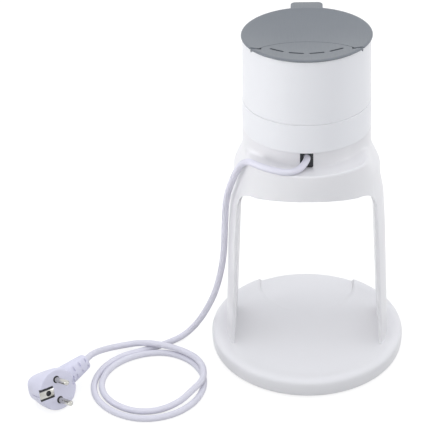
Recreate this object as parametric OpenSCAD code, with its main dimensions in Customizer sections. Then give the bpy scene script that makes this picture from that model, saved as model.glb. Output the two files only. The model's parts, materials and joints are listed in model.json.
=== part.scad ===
// One-cup boil-and-drip drink maker: a covered kettle head on a two-legged cup stand.
// Millimetres. Origin under the middle of the base, +Z up, front (lid tab) towards -Y,
// back (vents, cord notch) towards +Y.

/* [Base] */
// Outer radius of the round base
base_r = 88.4; // [84:0.1:100]
// Height of the base's rim crest above the table
base_crest = 18.6; // [17:0.1:24]
// Radius of the bull-nosed rim, half its width
base_nose = 4.7; // [3.5:0.1:5.5]
// How far the middle of the dish lies below the rim crest
dish_drop = 4.1; // [3:0.1:5]
// How much the dish rises from its middle to the rim
dish_rise = 2.4; // [1:0.1:3]
// Radius of the scoop that lets a mug slide in
scoop_r = 46; // [36:0.5:50]
// Distance of the scoop's centre in front of the axis
scoop_y = 68; // [62:0.5:80]
// Wall of the hollow base
base_wall = 2.6; // [2:0.1:4]
// Thickness of the cover under the base
cover_t = 2.4; // [1.5:0.1:4]
// Radius of one rubber foot
foot_r = 7; // [5:0.5:10]
// How far the feet stand out below the base
foot_h = 1.5; // [1:0.1:3]
// Number of feet
foot_count = 4; // [3:1:6]

/* [Stand] */
// Height of the cord ledge above the table
ledge_z = 212.5; // [190:0.5:230]
// Radius of the rim round the ledge
collar_r = 64.2; // [62:0.1:68]
// Radius of the neck under the head
neck_r = 48; // [44:0.5:50]
// Height of the neck above the ledge
neck_h = 17.2; // [14:0.1:24]
// Wall of the collar and the neck
stand_wall = 2.6; // [2:0.1:4]
// Height of the arch's crown between the legs
arch_z = 189; // [170:0.5:195]
// How much lower the arch is at its corners than at its crown
arch_drop = 6.5; // [2:0.5:10]
// Radius of the arch's upper corners
arch_corner = 13; // [8:0.5:20]
// Distance of each leg's inner face from the axis at the arch
leg_in_top = 58.6; // [56:0.1:60]
// Distance of each leg's inner face from the axis at the base
leg_in_foot = 67; // [64:0.1:68]
// Radius of the legs' outer faces at the base
leg_out_foot = 74.6; // [72:0.1:78]
// Half the width of a leg from front to back
leg_half = 29.5; // [24:0.5:31]
// Depth of the pocket that takes a leg's foot
leg_seat = 3.2; // [2:0.1:4]
// Width of the cord notch in the neck
notch_w = 11; // [9:0.5:16]

/* [Head] */
// Radius of the casing at its underside
casing_r = 54.6; // [53:0.1:58]
// How much narrower the casing is at its top
casing_draft = 1.8; // [0.5:0.1:2.5]
// Height of the lower casing
lower_h = 25.7; // [24:0.1:32]
// Height of the upper casing
upper_h = 53; // [48:0.5:70]
// Wall of both casings
casing_wall = 2.5; // [2:0.1:3]
// Depth of the groove where the casings meet
seam_cut = 0.8; // [0.4:0.1:1.2]

/* [Lid] */
// How far the lid and the vent panel stand out over the casing's top
lid_lap = 1.2; // [0.4:0.1:2]
// Height of the lid's rim
lid_rim_h = 3.3; // [3:0.1:4]
// Depth of the dish in the lid's top
lid_dish = 5; // [3:0.1:6]
// Thickness of the lid and the vent panel
lid_t = 2.6; // [2.2:0.1:3]
// Width of the thumb tab
tab_w = 29; // [20:0.5:40]
// Reach of the thumb tab from the axis
tab_reach = 69.6; // [62:0.1:76]
// Radius of the curved parting line between lid and vent panel
lens_r = 50.8; // [48:0.1:56]
// Distance of that curve's centre outside the lid's rim
lens_out = 4.3; // [2:0.1:8]
// Distance of the lid's hinge line in front of that curve's centre
hinge_inset = 30.8; // [29:0.1:32]
// Radius of a hinge pin
pin_r = 0.7; // [0.6:0.05:0.8]
// Number of vent slots
vent_count = 4; // [2:1:5]
// Length of a vent slot
vent_len = 12.6; // [8:0.1:13]
// Width of a vent slot
vent_w = 2.6; // [1.2:0.1:2.6]

/* [Boiler] */
// Room between the steel vessel and the casing's wall
vessel_gap = 5.3; // [5.2:0.1:8]
// Wall of the vessel
vessel_wall = 1; // [0.6:0.1:1.2]
// Height of the vessel's floor above the lower casing's floor
vessel_lift = 19.8; // [19:0.1:22]
// Distance of the heating ring inside the vessel's inner wall
heater_inset = 14; // [11:0.5:18]
// Radius of the heating element's tube
heater_tube_r = 3.2; // [2.5:0.1:3.6]
// Inner radius of the outlet tube
outlet_bore = 4; // [3:0.1:4.5]
// Lift of the outlet valve
valve_travel = 2; // [1:0.1:2.5]

/* [Controls] */
// Radius of the power button
button_r = 7.5; // [5:0.5:8]
// Travel of the power button
button_travel = 2; // [1:0.1:2.4]
// Radius of the pilot light's lens
pilot_r = 2.2; // [1.5:0.1:3]

/* [Mains lead] */
// Diameter of the cord
cord_d = 5.8; // [5:0.1:7]
// Radius of the plug's round face
plug_r = 18.6; // [17:0.1:19.5]
// Diameter of a plug pin
plug_pin_d = 4.8; // [4.8:0.1:5]
// Length of a plug pin
plug_pin_len = 19; // [18:0.5:20]
// Distance between the pins
plug_pitch = 19; // [18.5:0.1:19.5]

/* [Hidden] */
$fn = 72;

eps = 0.01;            // how far a cut runs past a face
moving_gap = 0.3;      // gap between pieces that move past each other
fit_gap = 0.15;        // gap round a piece that drops into a pocket
pin_play = 0.05;       // radial play of a running pin

// Levels, from the table up
dish_z = base_crest - dish_drop;
leg_foot_z = dish_z + dish_rise * pow(leg_in_foot / (base_r - 2 * base_nose), 2) - leg_seat;
head_z = ledge_z + neck_h;
seam_z = head_z + lower_h;
casing_top = seam_z + upper_h;
lid_under = casing_top + moving_gap;
lid_crest = lid_under + lid_rim_h;
vessel_z = head_z + casing_wall + vessel_lift;      // underside of the vessel
casing_top_r = casing_r - casing_draft;
lid_r = casing_top_r + lid_lap;
lens_y = lid_r + lens_out;
hinge_y = lens_y - hinge_inset;
vessel_r = casing_top_r - casing_wall - vessel_gap - vessel_wall;   // inside
heater_ring_r = vessel_r - heater_inset;
flange_gap = 1;                                     // round the vessel's flange
flange_t = 1;
liner_t = 1.4;
liner_top = lid_crest - lid_dish - lid_t - 0.1;     // the liner hangs just under the lid
vessel_top = liner_top - liner_t - 0.5 - flange_t;  // underside of the vessel's flange
flange_r = casing_top_r - casing_wall - flange_gap;
gasket_t = 1.5;
shelf_t = 3;
shelf_z = vessel_top - gasket_t - shelf_t;

// Radius of the casing at a height, and of the lid's dish
function casing_at(z) = casing_r - casing_draft * (z - head_z) / (casing_top - head_z);
crest_r = lid_r - 2.5;
function dish_at(r) = lid_crest - lid_dish * (1 - pow(min(r, crest_r) / crest_r, 2));
dish_steps = [for (i = [0:12]) crest_r * i / 12];

// ---- Screws -------------------------------------------------------------
// A pan-head screw that points up, with the underside of its head at z = 0
module screw(r, length, head_r, head_h) {
    cylinder(r = r, h = length);
    translate([0, 0, -head_h]) difference() {
        cylinder(r = head_r, h = head_h);
        for (a = [0, 90]) rotate([0, 0, a])
            translate([-head_r * 0.6, -0.4, -eps]) cube([head_r * 1.2, 0.8, head_h * 0.6]);
    }
}

// ---- Base ---------------------------------------------------------------
nose_r = base_r - base_nose;                        // centre line of the rim
nose_z = base_crest - base_nose;
cover_r = base_r - base_nose - 3;
cover_z = foot_h + 0.4;
foot_at = 66;                                       // distance of the feet from the axis
screw_r = 1.5;
cover_screw_at = 40;
cover_screw_len = 8;
leg_screw_len = 18;
leg_screw_x = (leg_in_foot + leg_out_foot) / 2 - 0.6;
leg_screw_y = 14;
boss_top = dish_z - 1;

function base_dish(r) = dish_z + dish_rise * pow(r / (base_r - 2 * base_nose), 2);

module base_outline() {
    dish_end = base_r - 2 * base_nose;
    polygon(concat(
        [[0, foot_h], [base_r - 4, foot_h], [base_r - 1.6, foot_h + 1], [base_r - 0.3, foot_h + 4],
            [base_r, nose_z]],
        [for (a = [15:15:150]) [nose_r + base_nose * cos(a), nose_z + base_nose * sin(a)]],
        [for (i = [10:-1:0]) [dish_end * i / 10, base_dish(dish_end * i / 10)]]));
}

module leg_pair(grow = 0, low = 0, high = 0) {
    intersection() {
        difference() {
            rotate_extrude() polygon(concat([[0, low]],
                [for (p = leg_outline) if (p[1] < high) [p[0] + grow, max(p[1], low)]],
                [[leg_out_at(high) + grow, high], [0, high]]));
            translate([0, base_r, 0]) rotate([90, 0, 0]) linear_extrude(2 * base_r)
                polygon([[-leg_in_at(low) + grow, low - 1], [leg_in_at(low) - grow, low - 1],
                    [leg_in_at(high + 1) - grow, high + 1], [-leg_in_at(high + 1) + grow, high + 1]]);
        }
        translate([-base_r, -leg_half - grow, low - 1]) cube([2 * base_r, 2 * (leg_half + grow), high]);
    }
}

module base_plate() {
    color("whitesmoke") difference() {
        union() {
            difference() {
                rotate_extrude() base_outline();
                // hollow underside
                translate([0, 0, -eps]) cylinder(r = cover_r - 2, h = dish_z - base_wall);
                translate([0, 0, -eps]) cylinder(r = cover_r + fit_gap, h = cover_z + cover_t + eps);
            }
            // pads under the leg pockets, and posts for the cover's screws
            for (side = [-1, 1]) translate([side * (leg_in_foot + 4) - 9, -leg_half - 3, cover_z + cover_t])
                cube([18, 2 * leg_half + 6, boss_top - cover_z - cover_t]);
            for (a = [0, 120, 240]) rotate([0, 0, a + 90]) translate([cover_screw_at, 0, cover_z + cover_t])
                cylinder(r = 4, h = boss_top - cover_z - cover_t);
        }
        translate([0, -scoop_y, dish_z]) cylinder(r = scoop_r, h = base_crest);
        leg_pair(fit_gap, leg_foot_z, base_crest + 8);
        for (x = [-1, 1], y = [-1, 1]) translate([x * leg_screw_x, y * leg_screw_y, cover_z]) {
            cylinder(r = screw_r + 0.3, h = base_crest);
            cylinder(r = 3.4, h = cover_t + 1.5);
        }
        for (a = [0, 120, 240]) rotate([0, 0, a + 90]) translate([cover_screw_at, 0, -eps])
            cylinder(r = screw_r, h = boss_top - 2);
    }
}

module base_cover() {
    color("gainsboro") difference() {
        translate([0, 0, cover_z]) cylinder(r = cover_r, h = cover_t);
        for (i = [0:foot_count - 1]) rotate([0, 0, 360 * (i + 0.5) / foot_count])
            translate([foot_at, 0, cover_z - eps]) cylinder(r = foot_r + fit_gap, h = 1);
        for (a = [0, 120, 240]) rotate([0, 0, a + 90]) translate([cover_screw_at, 0, cover_z - eps]) {
            cylinder(r = screw_r + 0.2, h = cover_t + 1);
            cylinder(r = 3.2, h = 1.2 + eps);
        }
    }
}

module base_feet() {
    color("dimgray") for (i = [0:foot_count - 1]) rotate([0, 0, 360 * (i + 0.5) / foot_count])
        translate([foot_at, 0, 0]) rotate_extrude()
            polygon([[0, 0], [foot_r - 0.8, 0], [foot_r, 0.8], [foot_r, cover_z + 1 - eps],
                [0, cover_z + 1 - eps]]);
}

module cover_screws() {
    color("silver") for (a = [0, 120, 240]) rotate([0, 0, a + 90])
        translate([cover_screw_at, 0, cover_z + 1.2]) screw(screw_r, cover_screw_len, 2.8, 1.1);
}

module leg_screws() {
    color("silver") for (x = [-1, 1], y = [-1, 1])
        translate([x * leg_screw_x, y * leg_screw_y, cover_z + cover_t + 1.5])
            screw(screw_r, leg_screw_len, 3, 1.4);
}

// ---- Stand --------------------------------------------------------------
// The legs' outer face, from the base up to the collar, as [radius, height]
leg_rise = arch_z - base_crest;
leg_outline = [[leg_out_foot, 0], [leg_out_foot, leg_foot_z],
    [leg_out_foot - 1.8, base_crest + 0.23 * leg_rise], [leg_out_foot - 3.6, base_crest + 0.44 * leg_rise],
    [leg_out_foot - 5.1, base_crest + 0.64 * leg_rise], [leg_out_foot - 6.8, base_crest + 0.79 * leg_rise],
    [leg_out_foot - 8.2, base_crest + 0.885 * leg_rise], [collar_r + 0.9, arch_z - 11],
    [collar_r, arch_z - 2]];
function leg_out_at(z) = lookup(z, [for (p = leg_outline) [p[1], p[0]]]);
function leg_in_at(z) = leg_in_foot
    + (leg_in_top - leg_in_foot) * (z - leg_foot_z) / (arch_z - leg_foot_z);

// The collar's section behind the head, where the cord lies, and at its shoulders, point for point
rim_crest = ledge_z + 0.9;
ledge_section = [[collar_r - 0.4, arch_z - 4], [collar_r, arch_z + 6], [collar_r, ledge_z - 7],
    [collar_r, ledge_z - 1], [collar_r - 0.6, ledge_z + 0.5], [collar_r - 1.6, rim_crest],
    [collar_r - 2.8, ledge_z + 0.5], [collar_r - 4.7, ledge_z + 0.1], [neck_r + 4, ledge_z],
    [neck_r + 1.5, ledge_z + 0.4], [neck_r + 0.3, ledge_z + 1.6], [neck_r, ledge_z + 3.5],
    [neck_r, ledge_z + 10], [neck_r, head_z]];
shoulder_section = [[collar_r - 0.4, arch_z - 4], [collar_r - 1.1, arch_z + 4],
    [collar_r - 3.8, ledge_z - 13.5], [collar_r - 6.5, ledge_z - 7.5], [casing_r + 1.7, ledge_z - 4.5],
    [casing_r + 0.8, ledge_z - 1.5], [casing_r + 0.5, ledge_z + 0.5], [casing_r + 0.4, ledge_z + 2.5],
    [casing_r + 0.3, ledge_z + 4.5], [casing_r + 0.2, ledge_z + 6.5], [casing_r + 0.1, ledge_z + 8.5],
    [casing_r, ledge_z + 11.5], [casing_r, ledge_z + 14.5], [casing_r, head_z]];
blend_from = 46;       // degrees from the back where the ledge starts to fade
blend_to = 76;         // degrees from the back where the shoulder is whole
collar_sides = 72;

// Share of the shoulder's section at an angle from +X: 0 behind and in front, 1 at the sides
function collar_blend(a) = let (away = abs(90 - (a % 180)),
    t = max(0, min(1, (away - blend_from) / (blend_to - blend_from)))) t * t * (3 - 2 * t);

module collar_form() {
    rows = len(ledge_section);
    rings = [for (j = [0:rows - 1]) [for (i = [0:collar_sides - 1])
        let (a = 360 * i / collar_sides, w = collar_blend(a),
            p = ledge_section[j] * (1 - w) + shoulder_section[j] * w)
            [p[0] * cos(a), p[0] * sin(a), p[1]]]];
    points = [for (ring = rings) each ring];
    n = collar_sides;
    sides = [for (j = [0:rows - 2], i = [0:n - 1]) [j * n + i, (j + 1) * n + i, (j + 1) * n + (i + 1) % n,
        j * n + (i + 1) % n]];
    polyhedron(points, concat(sides, [[for (i = [0:n - 1]) i]],
        [[for (i = [n - 1:-1:0]) (rows - 1) * n + i]]));
}

// The open arch between the legs, as an outline in X and Z
module arch_outline() {
    corner_x = leg_in_at(arch_z) - arch_corner;
    corner_z = arch_z - arch_drop - arch_corner;
    crown = [for (i = [-8:8]) [corner_x * i / 8, arch_z - arch_drop * pow(i / 8, 2)]];
    right = [for (a = [75:-15:0]) [corner_x + arch_corner * cos(a), corner_z + arch_corner * sin(a)]];
    left = [for (a = [180:-15:105]) [-corner_x + arch_corner * cos(a), corner_z + arch_corner * sin(a)]];
    foot = [[leg_in_at(0), 0], [-leg_in_at(0), 0]];
    polygon(concat(crown, right, foot, left));
}

hollow_r = collar_r - stand_wall;
neck_bore = neck_r - stand_wall;
neck_screw_at = (neck_bore + casing_r) / 2 + 0.6;
neck_screw_spread = 9;
neck_screw_deep = 12;
neck_screw_len = 20;

module stand_yoke() {
    color("white") difference() {
        union() {
            collar_form();
            rotate_extrude() polygon(concat([[0, leg_foot_z]],
                [for (p = leg_outline) if (p[1] > 1) p], [[0, arch_z - 2]]));
        }
        // arch and room behind the legs' flanks
        translate([0, base_r, 0]) rotate([90, 0, 0]) linear_extrude(2 * base_r) arch_outline();
        for (side = [-1, 1]) translate([-base_r, side > 0 ? leg_half : -leg_half - base_r, leg_foot_z - 1])
            cube([2 * base_r, base_r, arch_z - arch_drop - arch_corner - 4 - leg_foot_z]);
        // hollow underside of the collar, and the neck's bore
        rotate_extrude() polygon([[0, arch_z - 14], [hollow_r, arch_z - 14], [hollow_r, arch_z + 2],
            [casing_r - stand_wall, ledge_z - 7.5], [neck_bore, ledge_z - stand_wall - 0.5],
            [0, ledge_z - stand_wall - 0.5]]);
        translate([0, 0, arch_z]) cylinder(r = neck_bore, h = head_z - arch_z + 1);
        // notch for the cord
        translate([-notch_w / 2, neck_bore - 4, ledge_z]) cube([notch_w, 12, neck_h + 1]);
        for (side = [-1, 1], y = [-1, 1]) translate([side * neck_screw_at, y * neck_screw_spread, arch_z]) {
            cylinder(r = screw_r + 0.2, h = neck_h + 30);
            cylinder(r = 3.2, h = head_z - neck_screw_deep - arch_z);
        }
        for (x = [-1, 1], y = [-1, 1]) translate([x * leg_screw_x, y * leg_screw_y, leg_foot_z - eps])
            cylinder(r = screw_r, h = 14);
    }
}

module neck_screws() {
    color("silver") for (side = [-1, 1], y = [-1, 1])
        translate([side * neck_screw_at, y * neck_screw_spread, head_z - neck_screw_deep])
            screw(screw_r, neck_screw_len, 2.9, 1.8);
}

// ---- Head casings -------------------------------------------------------
floor_z = head_z + casing_wall;                     // top of the lower casing's floor
casing_screw_at = casing_r - casing_wall - 4;
boss_r = 3;
button_z = floor_z + 10.1;
pilot_x = 15;
pilot_z = button_z;
switch_front = casing_r - 11.6;                     // distance of the switch's face in front of the axis
switch_size = [16, 9, 12];
gland_y = [neck_bore - 15.4, neck_bore - 2];
gland_drop = 13;
spigot_h = 3.5;
spigot_r = casing_at(seam_z) - casing_wall;
terminal_y = 19;

module casing_screw_places() {
    for (a = [45:90:315]) rotate([0, 0, a]) translate([casing_screw_at, 0, 0]) children();
}

module lower_casing() {
    inner = casing_r - casing_wall;
    top_r = casing_at(seam_z);
    color("white") difference() {
        union() {
            rotate_extrude() polygon([[0, head_z], [casing_r - 1, head_z], [casing_r, head_z + 1],
                [top_r, seam_z - seam_cut - 0.4], [top_r - seam_cut, seam_z], [spigot_r, seam_z],
                [spigot_r, seam_z + spigot_h], [spigot_r - 1.7, seam_z + spigot_h],
                [spigot_r - 1.7, seam_z - 1], [inner, seam_z - 2.5], [inner, floor_z], [0, floor_z]]);
            // posts for the casing screws and the neck screws
            intersection() {
                translate([0, 0, head_z + 1]) cylinder(r = inner + 0.5, h = seam_z - head_z - 2);
                for (side = [-1, 1], y = [-1, 1])
                    translate([side * neck_screw_at, y * neck_screw_spread, floor_z - 1])
                        cylinder(r = boss_r, h = 10);
            }
            casing_screw_places() translate([0, 0, floor_z - 1])
                cylinder(r = boss_r, h = seam_z + spigot_h - floor_z + 0.6);
            // seat of the switch
            translate([-switch_size[0] / 2 - 1.5, -switch_front, floor_z])
                cube([switch_size[0] + 3, switch_size[1] + 1, button_z - switch_size[2] / 2 - floor_z]);
        }
        casing_screw_places() translate([0, 0, head_z - eps]) {
            cylinder(r = screw_r + 0.2, h = lower_h + 10);
            cylinder(r = 3.2, h = 1.5);
        }
        for (side = [-1, 1], y = [-1, 1])
            translate([side * neck_screw_at, y * neck_screw_spread, head_z - eps])
                cylinder(r = screw_r, h = 9);
        translate([0, 0, head_z - 1]) cylinder(r = outlet_r + 0.3, h = casing_wall + 2);
        translate([0, (gland_y[0] + gland_y[1]) / 2 - 1, head_z - 1])
            cylinder(r = cord_d / 2 + 0.6, h = casing_wall + 2);
        // holes for the power button and the pilot light
        translate([0, 0, button_z]) rotate([90, 0, 0]) translate([0, 0, switch_front + 2])
            cylinder(r = button_r + moving_gap, h = 20);
        translate([pilot_x, 0, pilot_z]) rotate([90, 0, 0]) translate([0, 0, switch_front])
            cylinder(r = pilot_r, h = 20);
    }
}

module upper_casing() {
    low_r = casing_at(seam_z);
    top_r = casing_at(casing_top);
    color("white") difference() {
        union() {
            difference() {
                rotate_extrude() polygon([[0, seam_z], [low_r - seam_cut, seam_z],
                    [low_r, seam_z + seam_cut + 0.4], [top_r, casing_top - 0.6], [top_r - 0.6, casing_top],
                    [0, casing_top]]);
                translate([0, 0, seam_z - 1]) cylinder(r = low_r - casing_wall + fit_gap, h = spigot_h + 2);
                translate([0, 0, seam_z]) cylinder(r = top_r - casing_wall, h = upper_h + 1);
            }
            difference() {
                translate([0, 0, shelf_z]) cylinder(r = top_r - 1, h = shelf_t);
                translate([0, 0, shelf_z - 1]) cylinder(r = vessel_r + vessel_wall + 0.6, h = shelf_t + 2);
            }
            intersection() {
                translate([0, 0, seam_z]) cylinder(r = top_r - 1, h = upper_h);
                casing_screw_places() translate([0, 0, seam_z + spigot_h + 0.1])
                    cylinder(r = boss_r, h = shelf_z - seam_z - spigot_h + 0.5);
            }
        }
        casing_screw_places() translate([0, 0, seam_z - 1]) cylinder(r = screw_r, h = 14);
        translate([0, 0, seam_z - 1]) cylinder(r = vessel_r + vessel_wall + 0.4, h = shelf_z - seam_z);
    }
}

module casing_screws() {
    color("silver") casing_screw_places() translate([0, 0, head_z + 1.5 - eps])
        screw(screw_r, lower_h + spigot_h + 2.8, 2.9, 1.4);
}

// ---- Lid and vent panel -------------------------------------------------
hinge_z = lid_under + 1.5;
horn_r = 1.5;
horn_x = sqrt(pow(lens_r, 2) - pow(hinge_inset, 2));    // where the parting line meets the hinge line
barrel_x = horn_x - 0.8;                                // inner end of a horn's barrel
pin_x = [barrel_x - 2.7, sqrt(pow(lid_r, 2) - pow(hinge_y, 2)) - 1.2];
ear_w = 3.2;
ear_from = pin_x[0] - 0.5;
tab_t = 2.6;

// The dished disc that the lid and the vent panel are cut from, with its underside at a height
module dished_disc(under) {
    rotate_extrude() polygon(concat(
        [for (i = [0:12]) [dish_steps[i], dish_at(dish_steps[i])]],
        [[lid_r - 1, lid_crest - 0.35], [lid_r - 0.2, lid_crest - 1.1], [lid_r, lid_crest - 1.9],
            [lid_r - 0.3, under + 0.3], [lid_r - 0.8, under], [crest_r - 2.2, under]],
        [for (i = [11:-1:0]) [dish_steps[i] - 0.3 * i / 12, dish_at(dish_steps[i]) - lid_t]]));
}

module lid() {
    color("slategray") difference() {
        union() {
            dished_disc(lid_under);
            // thumb tab with rounded corners
            translate([0, 0, lid_crest - tab_t - 0.3]) linear_extrude(tab_t) {
                translate([-tab_w / 2, -tab_reach + 5]) square([tab_w, tab_reach - crest_r - 2]);
                translate([-tab_w / 2 + 5, -tab_reach]) square([tab_w - 10, 8]);
                for (side = [-1, 1]) translate([side * (tab_w / 2 - 5), -tab_reach + 5]) circle(5);
            }
        }
        // parting line; each horn ends in a barrel about the hinge line
        difference() {
            union() {
                translate([0, lens_y, lid_under - 10]) cylinder(r = lens_r, h = 20);
                translate([-lid_r, hinge_y, lid_under - 5]) cube([2 * lid_r, lid_r, 15]);
            }
            for (side = [-1, 1]) translate([side * barrel_x, hinge_y, hinge_z]) rotate([0, side * 90, 0])
                cylinder(r = horn_r, h = lid_r);
        }
        for (side = [-1, 1]) translate([side * (barrel_x - 1), hinge_y, hinge_z]) rotate([0, side * 90, 0])
            cylinder(r = pin_r + pin_play, h = pin_x[1] - barrel_x + 1.3);
    }
}

module lid_liner() {
    liner_r = vessel_r - 1;
    color("gainsboro") difference() {
        union() {
            translate([0, 0, liner_top - liner_t]) cylinder(r = liner_r, h = liner_t);
            rotate_extrude() polygon([[liner_r - 4, liner_top - 1], [liner_r - 2, liner_top - 1],
                [liner_r - 2, dish_at(liner_r - 2) - lid_t], [liner_r - 4, dish_at(liner_r - 4) - lid_t]]);
        }
        translate([0, lens_y, vessel_top - 10]) cylinder(r = lens_r + 3, h = 30);
    }
}

vent_inset = 21;                                    // from the rim to the middle of the slots
vent_arc_r = 55;
vent_arc_y = lid_r - vent_inset - vent_arc_r;
vent_pitch = 17.2;

module vent_panel() {
    color("slategray") difference() {
        intersection() {
            union() {
                dished_disc(casing_top);
                // ears that hold the hinge pins
                for (side = [-1, 1]) translate([side * (ear_from + ear_w / 2), hinge_y - 3, hinge_z - 2.6])
                    translate([-ear_w / 2, 0, 0]) cube([ear_w, 4.5, 3]);
            }
            translate([0, lens_y, casing_top - 20]) cylinder(r = lens_r - moving_gap, h = 40);
        }
        // room in which the horns turn
        for (side = [-1, 1]) translate([side > 0 ? barrel_x - moving_gap : moving_gap - barrel_x - lid_r, 0,
            casing_top - 5]) cube([lid_r, hinge_y + horn_r + 2 * moving_gap, 20]);
        for (i = [0:vent_count - 1]) translate([0, vent_arc_y, casing_top - 10])
            rotate([0, 0, (i - (vent_count - 1) / 2) * vent_pitch]) translate([0, vent_arc_r, 0])
                linear_extrude(30) {
                translate([-(vent_len - vent_w) / 2, -vent_w / 2]) square([vent_len - vent_w, vent_w]);
                for (side = [-1, 1]) translate([side * (vent_len - vent_w) / 2, 0]) circle(vent_w / 2);
            }
        for (side = [-1, 1]) translate([side * pin_x[0], hinge_y, hinge_z]) rotate([0, side * 90, 0])
            cylinder(r = pin_r, h = 10);
    }
}

module hinge_pins() {
    color("silver") for (side = [-1, 1]) translate([side * pin_x[0], hinge_y, hinge_z])
        rotate([0, side * 90, 0]) cylinder(r = pin_r, h = pin_x[1] - pin_x[0]);
}

// ---- Boiler -------------------------------------------------------------
outlet_r = outlet_bore + 2;
vessel_in = vessel_z + vessel_wall;                 // top of the vessel's floor
plate_t = 3;
seat_top = vessel_in + 1.5;
rod_r = 1.4;
head_h = 3;
cage_h = 11.5;
cage_r = 10;
cage_top = seat_top + cage_h;
outlet_low = arch_z + 20;

module boiler_vessel() {
    color("lightgray") difference() {
        rotate_extrude() polygon([[outlet_r, vessel_z], [vessel_r - 3, vessel_z],
            [vessel_r + vessel_wall - 1, vessel_z + 1.5], [vessel_r + vessel_wall, vessel_z + 4],
            [vessel_r + vessel_wall, vessel_top], [flange_r, vessel_top], [flange_r, vessel_top + flange_t],
            [vessel_r, vessel_top + flange_t], [vessel_r, vessel_z + 4.5], [vessel_r - 1, vessel_z + 2.5],
            [vessel_r - 3, vessel_in], [outlet_r, vessel_in]]);
    }
}

module vessel_gasket() {
    color("dimgray") rotate_extrude() polygon([[vessel_r + vessel_wall + 0.7, shelf_z + shelf_t],
        [flange_r, shelf_z + shelf_t], [flange_r, vessel_top], [vessel_r + vessel_wall + 0.7, vessel_top]]);
}

module heater_plate() {
    color("silver") translate([0, 0, vessel_z - plate_t]) difference() {
        cylinder(r = heater_ring_r + 8, h = plate_t);
        translate([0, 0, -1]) cylinder(r = outlet_r, h = plate_t + 2);
    }
}

heater_lead_len = 6;

module heater_element() {
    ring_z = vessel_z - plate_t - heater_tube_r;
    color("dimgray") {
        rotate([0, 0, 110]) rotate_extrude(angle = 320)
            translate([heater_ring_r, ring_z]) circle(heater_tube_r);
        for (a = [110, 430]) rotate([0, 0, a]) translate([heater_ring_r, 0, ring_z - heater_lead_len])
            cylinder(r = 1.6, h = heater_lead_len);
    }
}

// The thermostat and the fuse sit between the outlet's nut and the heating ring
nut_r = outlet_r + 2.2;
between_r = (nut_r + heater_ring_r - heater_tube_r) / 2;
thermostat_r = (heater_ring_r - heater_tube_r - nut_r) / 2 - 1.8;
thermostat_h = 8.5;
fuse_len = 14;

module thermostat() {
    color("silver") translate([between_r, -4, vessel_z - plate_t - thermostat_h]) {
        cylinder(r = thermostat_r, h = thermostat_h);
        for (y = [-4, 4]) translate([-3, y - 0.4, -4]) cube([6, 0.8, 4]);
    }
}

module thermal_fuse() {
    color("silver") translate([-between_r, -fuse_len / 2, vessel_z - plate_t - 2]) rotate([-90, 0, 0])
        cylinder(r = 2, h = fuse_len);
}

module terminal_block() {
    color("ivory") translate([-11, terminal_y - 5, floor_z]) difference() {
        cube([22, 10, 8]);
        for (i = [0:2]) translate([4 + 7 * i, -1, 4]) rotate([-90, 0, 0]) cylinder(r = 1.6, h = 12);
    }
}

module outlet_tube() {
    color("silver") difference() {
        union() {
            translate([0, 0, outlet_low]) cylinder(r = outlet_r, h = seat_top - outlet_low);
            translate([0, 0, vessel_in]) cylinder(r = cage_r + 1, h = seat_top - vessel_in);
        }
        translate([0, 0, outlet_low - 1]) cylinder(r = outlet_bore, h = seat_top - outlet_low + 2);
    }
}

module outlet_nut() {
    color("goldenrod") translate([0, 0, vessel_z - plate_t - 4]) difference() {
        cylinder(r = nut_r, h = 4, $fn = 6);
        translate([0, 0, -1]) cylinder(r = outlet_r, h = 6);
    }
}

module valve_plunger() {
    color("tomato") {
        rotate_extrude() polygon([[0, seat_top - 2], [outlet_bore - 0.6, seat_top - 2],
            [outlet_bore - 0.4, seat_top + 0.1], [outlet_bore + 2.6, seat_top + 0.1],
            [outlet_bore + 2.2, seat_top + head_h], [0, seat_top + head_h]]);
        translate([0, 0, seat_top]) cylinder(r = rod_r, h = cage_top - seat_top + valve_travel + 3);
        translate([0, 0, cage_top + 0.9]) cylinder(r = 3, h = 1.4);
    }
}

module strainer_cage() {
    color("lightgray") difference() {
        translate([0, 0, seat_top]) cylinder(r = cage_r, h = cage_h);
        translate([0, 0, seat_top - 1]) cylinder(r = cage_r - 0.8, h = cage_h - 0.5);
        translate([0, 0, seat_top]) cylinder(r = rod_r + pin_play, h = cage_h + 1);
        for (i = [0:5]) rotate([0, 0, 60 * i]) translate([0, -2.2, seat_top + 1]) cube([cage_r + 2, 4.4, 7]);
    }
}

module bimetal_disc() {
    color("peru") difference() {
        translate([0, 0, cage_top]) cylinder(r = 8, h = 0.6);
        translate([0, 0, cage_top - 1]) cylinder(r = rod_r + 0.5, h = 3);
    }
}

nozzle_r = 13.5;
nozzle_neck_r = outlet_r + 2;
nozzle_grip = 8;                                    // how far the nozzle reaches up the outlet tube

module drip_nozzle() {
    color("gainsboro") difference() {
        rotate_extrude() polygon([[0, outlet_low - 4], [nozzle_r - 0.5, outlet_low - 4],
            [nozzle_r, outlet_low - 3], [nozzle_neck_r, outlet_low + 4],
            [nozzle_neck_r, outlet_low + nozzle_grip], [0, outlet_low + nozzle_grip]]);
        translate([0, 0, outlet_low]) cylinder(r = outlet_r, h = nozzle_grip + 1);
        translate([0, 0, outlet_low - 2.4]) cylinder(r = outlet_bore, h = 10);
        translate([0, 0, outlet_low - 2.4]) cylinder(r = 9.5, h = 1.6);
        for (i = [0:5]) rotate([0, 0, 60 * i]) translate([7, 0, outlet_low - 5]) cylinder(r = 0.9, h = 6);
    }
}

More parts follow.
